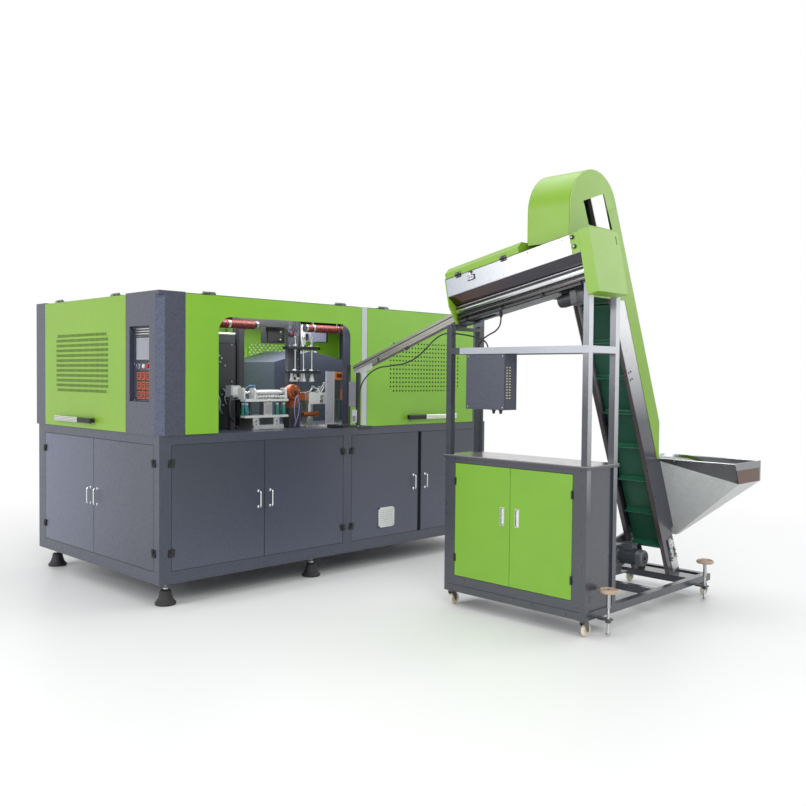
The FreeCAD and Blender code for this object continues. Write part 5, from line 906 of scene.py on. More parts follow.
# portal and mast
s.boxes(DRK, (820, 880, 350, 410, 1090.2, 1832), (820, 1270, 350, 410, 1832, 1900), (812, 888, 344, 416, 1090.2, 1104),
        (830, 870, 346, 350, 1130, 1800), (1404, 1412, 376, 424, 1511, 1900), (1118, 1296, 420, 480, 1715, 1831.5),
        (1412, 1526, 420, 470, 1760, 1800), (1408, 1436, 384, 440, 1716, 1740), (1270, 1550, 300, 380, 1490, 1511),
        (1190, 1290, 225, 300, 1090.2, 1240))
caps(s, grid((822, 878), 352, 1104), "z", 5, 5)
s.prism([(880, 1832), (880, 1786), (908, 1832)], "y", 356, 404, DRK)
s.box((1300, 1408), (380, 420), (1412, 1905), SLT)
caps(s, grid((1316, 1392), 380, range(1540, 1900, 60)), "y", 3.6, -2)
s.box((1134, 1284), (412, 420), (1728, 1818), BLK)
s.lathes(grid(1250, 412, (1744, 1800)), "y", [(7, 0), (7, -3), (4, -5)], 16, MACH)
# servo motor, air cylinder and valve
s.boxes(VIO, (1526, 1700, 402, 498, 1740, 1826), *((1540, 1688, 400.4, 402, z, z + 4) for z in range(1748, 1824, 9)))
s.box((1524, 1538), (400, 500), (1738, 1828), GRP)
s.box((1690, 1704), (400, 500), (1738, 1828), BLK)
s.lathe((1444, 396, 0), "z", [(20, 1705), (26, 1710), (26, 1856), (22, 1866)], 32, WHT)
s.lathe((1444, 396, 0), "z", [(9, 1694.5), (9, 1706)], 20, CHR)
s.lathe((1322, 380, 1790), "y", [(24, 0), (24, -10), (18, -14), (6, -14)], 28, BLK)
s.lathe((1322, 366, 1790), "y", [(8, 0), (8, -2), (4, -2)], 16, REDP)
for x in (1330, 1352, 1376):
    s.tube([(x, 374, 1900), (x + 6, 366, 1868), (x + 3, 366, 1840), (x - 4, 374, 1812), (x, 381, 1806)], 3, 8, BLK)
# holders and flared nozzles
caps(s, grid((1284, 1360, 1450, 1536), (310, 368), 1511), "z", 4.5, 5)
nozzles = list(grid(NOZZLE_X, 330, 0))
s.lathes(nozzles, "z", [(9.5, 1509.5), (17, 1509.5), (17, 1520), (14, 1524), (9.5, 1524), (9.5, 1509.5)], 28, STL)
s.lathes(nozzles, "z", [(9.4, 1490), (12, 1490), (12, 1474), (14, 1466), (19, 1446), (21, 1438), (21, 1430),
                        (9.4, 1430), (9.4, 1490)], 32, WHT)
for x in (1262, 1352):
    s.prism([(x + 6, 1489.8), (x + 6, 1450), (x, 1440), (x, 1430), (x + 26, 1430), (x + 26, 1440), (x + 20, 1450),
             (x + 20, 1489.8)], "y", 302, 316, LALU)
s.box((1288, 1352), (306, 314), (1446, 1462), WHT)
s.lathe((1302, 306, 1454), "y", [(10, 0), (10, -6), (5, -6)], 20, BLK)
# turning head and its arm
HEAD = (1236, 0, 1352)
s.lathe(HEAD, "y", [(44, 216), (52, 218), (58, 224), (58, 262), (52, 268), (44, 270), (44, 300)], 56, COP)
s.lathe(HEAD, "y", [(30, 216), (28, 208), (15, 206), (15, 216)], 40, COP)
s.lathe(HEAD, "y", [(9, 216), (9, 204), (5, 203)], 24, DRK)
s.box((1206, 1270), (236, 290), (1240, 1300), COP)
s.prism([(1250, 1290), (1358, 1290), (1358, 1322), (1330, 1346), (1270, 1346), (1250, 1330)], "y", 230, 296, COP)
ring_spots = [polar(45, a, (HEAD[0], HEAD[2])) for a in range(20, 380, 60)]
caps(s, [(x, 217, z) for x, z in ring_spots], "y", 4, -4)
caps(s, grid((1276, 1344), 230, (1300, 1326)), "y", 3.6, -3)
# heater block and the lilac air loop
s.box((1572, 1684), (172, 260), (1290, 1508), LALU)
s.boxes(ORG, (1574, 1668, 166, 172, 1446, 1504), (1640, 1680, 166, 172, 1296, 1372))
s.box((1596, 1650), (164, 166), (1462, 1492), COP)
s.boxes(MACH, (1572, 1636, 168, 172, 1300, 1440), (1612, 1660, 200, 240, 1090.2, 1290))
caps(s, grid((1582, 1660), 166, (1452, 1498)), "y", 3.4, -2)
for side in (-1, 1):
    s.tube([(1240 + side * u, y, z) for u, y, z in ((0, 200, 1330), (14, 198, 1300), (24, 198, 1250), (18, 200, 1190),
                                                    (4, 206, 1140), (3, 224, 1100))], 3.4, 10, LILAC)
s.lathe((1240, 0, 1332), "y", [(6, 198), (6, 206)], 14, BLK)
s.piece("blow_station", "line", station, "machined", ["clamp_unit"])

s = Shape()
s.prism(rounded(300, 379, 1672, 1694, 3), "x", 1245, 1545, DRK)
caps(s, grid((1262, 1366, 1446, 1530), 318, 1694), "z", 5, 6)
for c in nozzles:
    s.rod((c[0], 330, 1482), (c[0], 330, 1770), 7, 24, CHR, 1.0)
    s.ring(c, "z", 7.2, 15, 1660, 1672, 28, STL)
    s.lathe(c, "z", [(7.2, 1694), (17, 1694), (17, 1708), (14, 1712), (7.2, 1712), (7.2, 1694)], 6, STL)
    s.ring(c, "z", 7.2, 11, 1752, 1768, 20, STL)
s.piece("stretch_bridge", "stretch_carriage", station, "bright", ["stretch_carriage"])

s = Shape()
# transfer table
for z0, z1 in ((1176, 1192), (1290, 1306)):
    s.prism(rounded(750, 1130, 150, 216, 8), "z", z0, z1, WHT)
    s.box((770, 1110), (216, 345), (z0 + 2, z1 - 2), DRK)
caps(s, grid((764, 940, 1116), (160, 206), 1306), "z", 4.5, 4)
s.boxes(LALU, *((x, x + 60, 160, 335, 1090.4, 1100) for x in (820, 1000)),
        *((x + 4, x + 56, 164, 331, 1100, 1176) for x in (820, 1000)), (824, 1085, 152, 160, 1094, 1124),
        (918, 992, 165, 215, 1192, 1283), (1346, 1516, 190, 330, 1262, 1350), (1340, 1440, 215, 305, 1090.4, 1102),
        (1350, 1372, 200, 230, 1160, 1262))
s.lathes(grid((850, 1030), 160, (1126, 1150)), "y", [(8, 4), (8, 0), (5, 0), (5, 4)], 20, STL)
s.lathes([(822, 300, 0), (1070, 300, 0), (822, 196, 0), (1070, 196, 0)], "z",
         [(15, 1190), (15, 1196), (11, 1196), (11, 1286), (15, 1286), (15, 1292)], 24, DRK)
bottles = [(778, 176, 0), (1100, 176, 0), (1048, 182, 0), (770, 204, 0)]
s.lathes(bottles, "z", [(10, 1191), (16, 1192), (16, 1242), (13, 1256), (8, 1266), (8, 1290)], 28, TEAL)
s.lathes(bottles, "z", [(9, 1266), (12, 1267), (12, 1278), (9, 1279)], 20, WHT)
s.boxes(MACH, (926, 984, 158, 165, 1204, 1270), (1360, 1420, 230, 290, 1090.4, 1262))
caps(s, grid((936, 974), 158, (1214, 1260)), "y", 4, -3)
# air cylinders over the table
for x in (750, 842, 1114):
    s.prism([(170, 1306), (240, 1306), (240, 1372), (226, 1386), (184, 1386), (170, 1372)], "x", x, x + 14, WHT)
air_cylinder(s, (0, 205, 1352), "x", 22, 856, 1114, LALU, STL)
air_cylinder(s, (0, 176, 1322), "x", 11, 860, 1110, STL, WHT)
s.rod((764, 205, 1352), (856, 205, 1352), 8, 16, CHR)
for x in (856, 1098):
    s.lathe((0, 205, 1352), "x", [(26, x - 2), (26, x + 2)], 28, STL)
s.tube([(770, 162, 1320), (752, 158, 1300), (752, 154, 1260), (760, 154, 1222), (790, 156, 1214)], 4, 10, BLUE)
s.tube([(860, 196, 1378), (850, 180, 1400), (800, 172, 1402), (762, 176, 1380), (757, 178, 1330)], 4, 10, BLUE)
# side plate and tray
s.prism(rounded(1482, 1552, 1096, 1508, 6), "y", 150, 162, GRP)
s.boxes(WHT, (1552, 1562, 150, 190, 1096, 1506), (1474, 1690, 142, 240, 1090.4, 1102),
        (1480, 1660, 142, 150, 1102, 1118), (1350, 1512, 186, 190, 1266, 1346))
caps(s, grid(1494, 150, (1130, 1200, 1430, 1480)), "y", 5, -4)
# lever box with its links
s.lathe((1466, 186, 1318), "y", [(15, 0), (15, -6), (9, -6), (9, 0)], 28, STL)
s.lathe((1462, 186, 1284), "y", [(11, 0), (11, -6), (6, -6), (6, 0)], 24, BLK)
s.prism(rounded(1456, 1476, 1276, 1330, 6), "y", 181, 186, MACH)
for x0, z0, x1, z1, r in ((1352, 1352, 1392, 1392, 5), (1392, 1392, 1448, 1372, 5), (1428, 1352, 1452, 1388, 4),
                          (1440, 1350, 1500, 1418, 4), (1466, 1352, 1512, 1404, 4), (1448, 1300, 1446, 1372, 3)):
    s.rod((x0, 192, z0), (x1, 200, z1), r, 14, LALU, 1.0)
for x, z in ((1352, 1354), (1392, 1392), (1428, 1354), (1452, 1388), (1500, 1416)):
    s.lathe((x, 0, z), "y", [(9, 186), (9, 206)], 20, STL)
s.rod((1306, 210, 1188), (1452, 210, 1188), 19, 28, COP, 2)
s.piece("preform_transfer", "line", station, "pale_metal", ["transfer_table"])

HOSE = (0, 175, 1826)


def ribbed(s, x0, x1, radius=30, pitch=20):
    """A corrugated hose along X, with a steel cuff at each end."""
    stations = [(x0 + 3 + (k + share) * pitch, radius * r) for k in range(int((x1 - x0 - 6) / pitch))
                for share, r in ((0.0, 0.80), (0.3, 1.0), (0.55, 1.0), (0.85, 0.80))]
    s.tube([(x, *HOSE[1:]) for x, r in stations], [r for x, r in stations], 24, 0)
    for x in (x0, x1 - 15):
        s.lathe(HOSE, "x", [(30, x), (30, x + 14), (27, x + 14.2)], 32, 1)


s = Shape()
ribbed(s, 440, 861)
s.ring(HOSE, "x", 29, 30, 616, 632, 32, 1)
s.piece("air_duct", "line", [hose, steel], "hose", ["air_hose"])
s = Shape()
ribbed(s, 1293, 1667)
for x in (1360, 1600):
    s.ring(HOSE, "x", 29, 30, x, x + 14, 32, 1)
    s.box((x + 1, x + 13), (172, 178), (1855, 1997), 1)
s.piece("air_duct_right", "line", [hose, steel], "hose")

# mesh vent in the rear wall, over the oven
s = Shape()
s.box((1930, 2378), (1793.2, 1794.8), (1600, 1769), 1)
s.box((1930, 2378), (1794.8, 1796.2), (1600, 1769), 0)
x0, x1, z0, z1, pitch = 1934, 2374, 1604, 1765, 46.0
rise = z1 - z0
for slope in (1, -1):
    a = x0 - (int(rise / pitch) + 1) * pitch
    while a < x1 + rise:
        low, high = max(a, x0), min(a + rise, x1)
        if high - low > 8:
            za, zb = (z0 + low - a, z0 + high - a) if slope == 1 else (z1 - low + a, z1 - high + a)
            s.rod((low, 1790.6, za), (high, 1790.6, zb), 8.5, 8, 0)
        a += pitch
s.border((1926, 2382, 1598, 1772), (1938, 2370, 1608, 1761), (1788, 1796.2), 0)
s.piece("rear_mesh", "line", [green, white], "green")


# ------------------------------------------------------------------ feeder cabinet doors and box
pull_silver = material("pull_silver", ALU, colour=(0.74, 0.75, 0.76), rough=0.26)
for node, (hinge, free) in CABINET_DOORS.items():
    side, width = facing(hinge, free), abs(free - hinge)
    s = Shape(end_plane(hinge, side, CABINET_FACE))
    pan_leaf(s, 0.2, width, 207, 928, 16)
    u = width - 55
    s.border((u - 16, u + 16, 574, 686), (u - 12, u + 12, 578, 682), (0.2, 3.6), 1)
    # The black face in each pull's recess, left open beside the silver plate, is painted shadow.
    s.box((u - 12, u + 12), (0.1, 0.8), (578, 682), 2)
    s.prism(rounded(*sorted((u - side * 12, u + side * 5)), 581, 679, 2), "y", 0.8, 4.4, 1)
    for z in CABINET_HINGE_Z:
        slim_hinge(s, z, True)
    s.skin(node, [cabinet_green_shaded, pull_silver, black], "green")

s = Shape()
s.box((1419.5, 1536.8), (-1599.8, -1290.2), (1277.2, 1621.8), 0)
s.prism(rounded(-1597, -1293, 1280, 1619, 6), "x", 1417.2, 1419.5, 0)
s.box((1421.5, 1423.5), (-1600, -1290), (1277, 1622), 2)
domes(s, grid(1417.2, (-1583, -1307), (1292, 1607)), "x", 4.5, -2.2, 3)
for (x0, x1), z in product(((1432, 1449), (1459, 1476)), range(1346, 1550, 17)):
    s.prism([(x0, z), (x1, z), (x1, z + 1), (x1 - 3, z + 8), (x0 + 3, z + 8), (x0, z + 1)], "y", -1601.6, -1599.8, 1)
    s.box((x0 + 2, x1 - 2), (-1602.2, -1599.8), (z - 1.5, z + 0.5), 2)
glands = list(grid(1471, (-1530, -1475), 0))
s.lathes(glands, "z", [(13, 1277.2), (13, 1270), (11, 1268)], 6, 2)
s.lathes(glands, "z", [(9.5, 1268), (9.5, 1258), (6, 1251)], 24, 2)
s.lathes([(1500, -1318, 0), (1478, -1420, 0)], "z", [(11, 1622), (11, 1627), (9, 1632), (6.2, 1638)], 24, 2)
s.piece("junction_box", "line", [hammer, material("louvre_pale", SILVER, colour=srgb(206, 200, 168)), black, turned],
        "grey", ["terminal_box"])


# ------------------------------------------------------------------ casters, jacks and handwheels
fork_metal = material("fork_zinc", ZINC, colour=(0.17, 0.155, 0.15))
cream = material("cream", look("plastic", srgb(222, 214, 194), 0.34))
AXLE_Z = 37.5
for number, (cx, cy) in enumerate(((1449, -2168), (1449, -1162), (2888, -2176), (2888, -1604)), 1):
    wx = cx + 22
    s = Shape()
    s.lathe((cx + 4, cy, 0), "z", [(16, 90.5), (16.3, 92), (16.3, 95.4)], 36, 0)
    s.prism(rounded(cx - 20, cx + 30, cy - 16.4, cy + 16.4, 8), "z", 86, 90.5, 0)
    s.lathe((cx + 4, cy, 0), "z", [(7, 80), (7, 86)], 6, 1)
    toe = [(wx + 9.5 * math.cos(t), AXLE_Z + 9 * math.sin(t)) for t in map(math.radians, range(-10, -181, -20))]
    cheek = [(cx - 18, 86), (cx + 30, 86), (wx + 11, 44)] + toe + [(wx - 14, 52), (cx - 18, 78)]
    for y in (cy - 16.4, cy + 13.6):
        s.prism(cheek, "y", y, y + 2.8, 0)
    s.rod((wx, cy - 13.6, AXLE_Z), (wx, cy + 13.6, AXLE_Z), 3.9, 16, 1)
    s.skin(f"caster_fork_{number}", [fork_metal, turned], "galvanised", bevel=0.6)
    s = Shape()
    s.lathe((wx, cy, AXLE_Z), "y", [
        (29, -8), (30, -11.5), (33, -12), (36.2, -9), (37.4, -3), (37.4, 3), (36.2, 9), (33, 12), (30, 11.5), (29, 8),
        (10, 6.5), (9, 12), (4.4, 12), (4.4, -12), (9, -12), (10, -6.5), (29, -8)], 56, 0)
    for a, sign in product(range(0, 360, 60), (-1, 1)):
        (x0, z0), (x1, z1) = (polar(r, a, (wx, AXLE_Z)) for r in (12, 27))
        s.rod((x0, cy + sign * 7, z0), (x1, cy + sign * 8, z1), 1.8, 8, 0)
    s.ring((wx, cy, AXLE_Z), "y", 4.4, 9.2, -12.6, -12, 24, 1)
    s.skin(f"caster_wheel_{number}", [cream, turned], "cream_wheel")

beige = material("beige", look("plastic", srgb(190, 166, 146), 0.40))
for number, x in ((1, 1560), (2, 2745)):
    c = (x, -2260, 0)
    s = Shape()
    s.lathe(c, "z", [(0.5, 14), (13.5, 14), (13.9, 16), (13.9, 20), (9.5, 22.5)] + thread(24.0, 258, 6.9, 7.9, 3.4)
            + [(7.6, 261.5)], 24, 0)
    s.lathe(c, "z", [(8.1, 168), (10.5, 168), (11.5, 172), (11.5, 236), (13, 248), (18, 257.4), (8.1, 257.4),
                     (8.1, 168)], 28, 0)
    s.skin(f"jack_screw_{number}", [turned], "screw_steel")
    s = Shape()
    s.lathe((x, -2260, 262.4), "z", [
        (1, 0), (17, 0), (20, 1), (40, -1), (43, -7), (49, -9), (54, -5), (56, 2), (56, 6), (53, 11), (48, 13),
        (44, 10), (41, 4), (22, 4.5), (18, 8), (1, 8)], 64, 0)
    s.lathe(c, "z", [(10, 270.4), (10, 274.4)], 6, 1)
    for a in range(10, 370, 72):
        s.rod(*((*polar(r, a, c), 267.4) for r in (19, 43)), 4, 10, 0)
    s.skin(f"handwheel_{number}", [beige, turned], "beige_plastic")


# ------------------------------------------------------------------ elevator
LEAN_DEGREES = 23.27
LEAN = math.radians(LEAN_DEGREES)
# Where the underside line meets the floor, the drums' distance from that line, and their places along it.
FLOOR_X = 2759.1
DRUM_OFF = 88
HEAD, TAIL = ((z - DRUM_OFF * math.sin(LEAN)) / math.cos(LEAN) for z in (2494, 352))


def lean(p):
    """Offset from the underside line, Y, and length along the leaning elevator."""
    return FLOOR_X + p.x * math.cos(LEAN) - p.z * math.sin(LEAN), p.y, p.x * math.sin(LEAN) + p.z * math.cos(LEAN)


s = Shape(lean)
loop = [(first + 180 * i / 28, centre) for centre, first in ((HEAD, 0), (TAIL, 180)) for i in range(29)]
for pair in zip(loop, loop[1:] + loop[:1]):
    a, b, c, d = (polar(r, angle, (DRUM_OFF, centre)) for angle, centre in pair for r in (33.4, 37.2))
    s.add([(p[0], y, p[1]) for y in (-1994, -1776) for p in (a, b, d, c)],
          [(0, 1, 2, 3), (4, 7, 6, 5), (1, 5, 6, 2), (0, 3, 7, 4)], 0)
CLEAT_PITCH = 246
CLEAT = ((37.2, -10), (39.5, -9), (42, 0), (74, 0.5), (75.2, 2.2), (75.2, 3.8), (74, 5.5), (42, 6), (39.5, 15),
         (37.2, 16))
for i, side in product(range(int((HEAD - TAIL) / CLEAT_PITCH) + 1), (-1, 1)):
    along = TAIL + 20 + i * CLEAT_PITCH
    s.prism([(DRUM_OFF + side * r, along + h) for r, h in CLEAT], "y", -1993, -1777, 1)
s.piece("cleated_belt", "line", [
    material("belt", look("rubber", srgb(32, 88, 68), 0.40)),
    material("cleat", look("rubber", srgb(38, 112, 84), 0.36, coat=0.3, coat_rough=0.25))], "belt", ["elevator_belt"])

s = Shape(lean)
for y, height in ((-2030, -4), (-1740, 4)):
    bolts(s, grid((16, 38), y, (1590, 1640)), "y", 5, height, 3)
s.boxes(1, (50, 126, -2033, -2030, TAIL - 196, TAIL - 30), (60, 116, -2034, -2030, TAIL - 30, TAIL + 46),
        (50, 126, -2044, -2030, TAIL - 104, TAIL - 98))
s.lathe((DRUM_OFF, -2034, TAIL), "y", [(30, 0), (30, -4), (24, -9), (20, -9), (19, -6), (11, -6), (11, -10), (9, -11)],
        36, 1)
for x in (60, 116):
    s.rod((x, -2037, TAIL - 100), (x, -2037, TAIL + 46), 5, 14, 2)
s.lathes(grid((60, 116), -2037, (TAIL - 112, TAIL - 92, TAIL - 58)), "z", [(8, 0), (8, 7)], 6, 3)
bolts(s, grid((62, 114), -2034, (TAIL - 38, TAIL + 38)), "y", 6.5, -5, 3)
s.piece("elevator_bearing", "line", [turned, zinc, turned, black], "galvanised")

HOOD_X, HOOD_Z, HOOD_R = 1698.0, 2457.0, 253.0
SEAM_Z = 2523
SEAM_X = HOOD_X + HOOD_R * math.cos(LEAN) + (HOOD_Z + HOOD_R * math.sin(LEAN) - SEAM_Z) * math.tan(LEAN)


def hood_line(inset):
    """The hood's arc and the end of its seam with the cover."""
    arc = [polar(HOOD_R - inset, 180 + (LEAN_DEGREES - 180) * i / 56, (HOOD_X, HOOD_Z)) for i in range(57)]
    return arc + [(SEAM_X - inset / math.cos(LEAN), SEAM_Z)]


side_face = [(1445, 2262)] + hood_line(0)
foot = [(1700, 2286), (1684, 2286), (1684, 2262)]
# The opening in the near side runs on into the cover, across the seam.
near_face = side_face + [(1852, 2483), (1801, 2587), (1584, 2513), (1643, 2380), (1700, 2380.2)] + foot
far_face = side_face + [(1700, SEAM_Z - (SEAM_X - 1700) * math.tan(LEAN))] + foot
s = Shape()
s.prism(side_face + hood_line(2.5)[::-1] + [(1447.5, 2262)], "y", -2032.6, -1737.4, 0)
s.plate(near_face, [], "y", -2032.8, -2030.3, 0)
s.plate(far_face, [], "y", -1739.7, -1737.2, 0)
# Beads along the hood's outline and round the window opening, in a pale green: a painted highlight on the folded edges.
for y in (-2031.8, -1738.6):
    s.tube([(x, y, z) for x, z in [(1447.6, 2264)] + hood_line(2.6)], 2.6, 10, 1)
s.tube([(1643, -2031.6, 2381), (1584, -2031.6, 2513), (1801, -2031.6, 2587), (1852, -2031.6, 2483)], 2.0, 8, 1)
s.piece("head_cover", "line", [soft_green, material("green_painted_highlight", GREEN, colour=srgb(176, 214, 116))], "green",
        ["elevator_hood"])


# ------------------------------------------------------------------ drive
MOTOR_X, MOTOR_Z = 2450, 283
c = (MOTOR_X, 0, MOTOR_Z)
s = Shape()
s.lathe(c, "y", [(46, -1935), (46, -1808), (52, -1806), (52, -1800)], 48, 0)
s.lathe(c, "y", [(44, -1982), (51, -1979), (54, -1972), (54, -1936), (50, -1934)], 48, 0)
s.lathe(c, "y", [(58, -1803), (58, -1799)], 48, 0)
s.lathe(c, "y", [(40, -1982.5), (40, -1981), (10, -1981), (10, -1982.5)], 40, 2)
for r in range(14, 39, 6):
    s.ring(c, "y", r, r + 2.2, -1982.4, -1980.5, 40, 0)
for a in range(0, 360, 12):
    ca, sa = polar(1, a)
    s.prism([(MOTOR_X + r * ca - t * sa, MOTOR_Z + r * sa + t * ca)
             for r, t in ((45, -1.6), (53.6, -1.0), (53.6, 1.0), (45, 1.6))], "y", -1934, -1810, 0)
bolts(s, [(x, -1803, z) for x, z in (polar(50, a, (MOTOR_X, MOTOR_Z)) for a in (45, 135, 225, 315))], "y", 5.5, -4, 1)
# terminal box
s.prism(rounded(-1905, -1835, 330, 366, 5), "x", 2418, 2482, 0)
s.box((2414, 2486), (-1909, -1831), (366, 371), 0)
domes(s, grid((2422, 2478), (-1901, -1839), 371), "z", 3.5, 2, 1)
s.lathe((0, -1870, 346), "x", [(11, 2482), (11, 2492), (8, 2500)], 20, 2)
# worm box and foot
s.prism(rounded(2388, 2508, 205, 353, 14), "y", -1799.6, -1700, 0)
s.lathe((0, -1750, 279), "x", [(40, 2508), (40, 2514), (34, 2517)], 40, 0)
domes(s, grid(2508, (-1786, -1714), (220, 338)), "x", 4, 2, 1)
s.prism(rounded(2410, 2490, 153, 205, 4), "y", -1785, -1715, 0)
s.box((2234, 2566), (-1790, -1710), (145.4, 153), 0)
bolts(s, grid((2262, 2536), -1750, 153), "z", 9, 8, 1)
# chain case and shaft
TAIL_X = FLOOR_X + DRUM_OFF * math.cos(LEAN) - TAIL * math.sin(LEAN)
case = [(2400, 233), (TAIL_X + 30, 297), (TAIL_X + 52, 342), (TAIL_X + 46, 372), (TAIL_X + 20, 400), (2430, 335),
        (2400, 313)]
s.prism(case, "y", -1699.4, -1680, 0)
s.prism([(x + (2560 - x) * 0.03, z + (315 - z) * 0.06) for x, z in case], "y", -1680, -1678, 0)
domes(s, [(x + (2560 - x) * 0.08, -1678, z + (315 - z) * 0.16) for x, z in case], "y", 4, 2, 1)
s.lathe((TAIL_X, 0, 352), "y", [(24, -1739), (24, -1699.5)], 36, 0)
s.piece("geared_motor", "line", [material("motor", MOTOR), turned, black], "motor_grey", ["gearmotor"])


# ------------------------------------------------------------------ hopper edges
RIM = [(2540, -1739, 947), (2540, -2540.8, 947), (2918, -2540.8, 947), (2918, -1739, 947)]
s = Shape()
for a, b in zip(RIM, RIM[1:] + [(2700, -1739, 947)]):
    s.rod(a, b, 3.4, 12, 0)
s.lathes(RIM, "z", [(2.5, -4.5), (4.2, -3), (4.2, 2), (2.5, 3.4)], 14, 0)
domes(s, grid(2540.2, (-2130, -2250, -2370, -2480), 938), "x", 4, -2.4, 1)
domes(s, grid((2580, 2660, 2740, 2820, 2890), -2542.6, 905), "y", 4, -2.4, 1)
s.piece("hopper_edge", "line", [bright, turned], "bright")


# ------------------------------------------------------------------ sorter
TILT = math.radians(11.4)
# Lower end of each lid hinge, along the sorter.
LID_HINGES = (514, 880)


def sloping(p, angle, y, z):
    """X, length and height on a line that falls towards +Y from one place."""
    return p.x, y + p.y * math.cos(angle) + p.z * math.sin(angle), z - p.y * math.sin(angle) + p.z * math.cos(angle)


def tilt(p):
    """X, length down the sorter from its near end, and height over the side panel's top edge."""
    return sloping(p, TILT, -2130, 2299)


s = Shape(tilt)
for x, side in ((1384, 1), (1690, -1)):
    s.boxes(0, (x, x + side * 2.6, 0.6, 1010, -115, -0.4), (x, x + side * 12, 0.6, 1010, -3, -0.2))
    s.rod((x + side * 1.6, 0.8, -115), (x + side * 1.6, 1009.8, -115), 2.4, 12, 0)
    domes(s, grid(x, range(90, 1000, 115), -96), "x", 3.4, side * -1.8, 2)
s.prism([(1384.6, -116), (1388.6, -116), (1461, -185), (1456.8, -185)], "y", 0.6, 1009.8, 1)
s.prism([(1689.4, -116), (1685.4, -116), (1563, -185), (1567.2, -185)], "y", 0.6, 1009.8, 1)
domes(s, grid(1384, (110, 355), -18), "x", 4.4, -2.4, 3)
# bright rail along the slope's lower edge
s.rod((1443, 2, -183), (1443, 1006, -183), 6.5, 20, 5, 1)
for y in LID_HINGES:
    for low in (y, y + 30):
        s.lathe((1375, 0, 1), "y", [(4.4, low), (4.4, low + 14)], 16, 3)
        s.box((1375, 1383.8), (low, low + 14), (-5, 1), 3)
    s.box((1380.5, 1383.8), (y, y + 44), (-16, -3), 3)
    domes(s, grid(1380.5, (y + 9, y + 35), -10), "x", 2.8, -1.6, 2)
# knobs and catch
knobs = ((0, 38, -22), (0, 32, -78))
s.lathes(knobs, "x", [(12.9, 1383.8), (12.9, 1374)], 6, 3)
s.lathes(knobs, "x", [(10, 1374), (9, 1371), (6, 1370.4)], 20, 3)
s.lathes(knobs, "x", [(4.6, 1370.5), (4.6, 1369.8), (2.4, 1369.8), (2.4, 1371)], 16, 2)
s.boxes(3, (1381, 1383.8, 770, 830, -60, -28), (1371.6, 1381, 791, 809, -14, -4))
s.prism(rounded(776, 824, -56, -34, 6), "x", 1374, 1381, 2)
s.rod((1373.4, 800, -58), (1373.4, 800, -10), 3.2, 12, 2)
s.rod((1372.6, 786, -45), (1372.6, 814, -45), 2.6, 12, 3)
s.piece("preform_trough", "line", [
    material("panel_steel", STEEL, colour=(0.50, 0.50, 0.51), rough=0.30, stretch=(1.0, 30.0, 1.0),
             fade=(1, -1.6, -0.8, (0.38, 0.40, 0.45))),
    # The sloping sheet is a mirror with a near-black colour that fades to brown towards +Y: painted dark reflection.
    material("slope_mirror_painted_reflection", BRIGHT, colour=(0.085, 0.08, 0.095), rough=0.12, wave=0.002,
             fade=(1, -1.3, -0.8, (0.13, 0.085, 0.065))),
    turned, black, chrome, material("rail_steel", STEEL, colour=(0.30, 0.30, 0.31), rough=0.24)],
    "stainless", ["sorter_trough"])

s = Shape(tilt)
outer = [(1690, 1.0), (1690, 50), (1650, 70), (1424, 70), (1384, 36), (1384, 1.0)]
inner = [(1688, 1.0), (1688, 49), (1649.2, 68), (1424.8, 68), (1386, 35), (1386, 1.0)]
for a, b, c, d in zip(outer, outer[1:], inner[1:], inner):
    s.prism([a, b, c, d], "y", 414, 1010, 0)
for y in (414, 1007.8):
    s.prism(outer, "y", y, y + 2.2, 0)
s.rod((1424, 415, 69), (1424, 1009, 69), 1.6, 8, 0)
for y in LID_HINGES:
    s.lathe((1375, 0, 1), "y", [(4.4, y + 14.6), (4.4, y + 29.4)], 16, 1)
    s.boxes(1, (1375, 1384.2, y + 14.6, y + 29.4, 1, 6), (1380.5, 1384.2, y, y + 44, 6, 18))
    domes(s, grid(1380.5, (y + 9, y + 35), 12), "x", 2.8, -1.6, 2)
s.skin("sorter_lid", [soft_green, black, turned], "green")

for number, x in ((1, 1478), (2, 1546)):
    s = Shape(tilt)
    s.lathe((x, 0, -216), "y", [(4, -14), (4, 5.5), (17, 6), (19.8, 8), (19.8, 1002), (17, 1004), (4, 1004.2),
                                (4, 1014)], 40, 0)
    s.skin(f"sorter_roller_{number}", [roller], "roller_steel")

s = Shape(tilt)
s.boxes(0, (1448, 1452, 0.6, 1009.8, -286, -186), (1572, 1576, 0.6, 1009.8, -286, -186),
        (1448, 1576, 0.6, 750, -286, -282), (1448, 1488, 750, 1009.8, -286, -282),
        (1536, 1576, 750, 1009.8, -286, -282))
for x, side in ((1440, 1), (1584, -1)):
    s.lathe((x, 0, -213), "y", [(13, 3), (17, 5), (17, 996), (14.5, 1003), (8, 1007), (2, 1008)], 40, 1)
    s.lathe((x + side * 6, 0, -252), "y", [(13, 3), (15, 5), (15, 1000), (13, 1004)], 32, 2)
    s.boxes(0, *((x - side * 10, x + side * 12, y, y + 10, -277, -270) for y in (60, 330, 640, 930)))
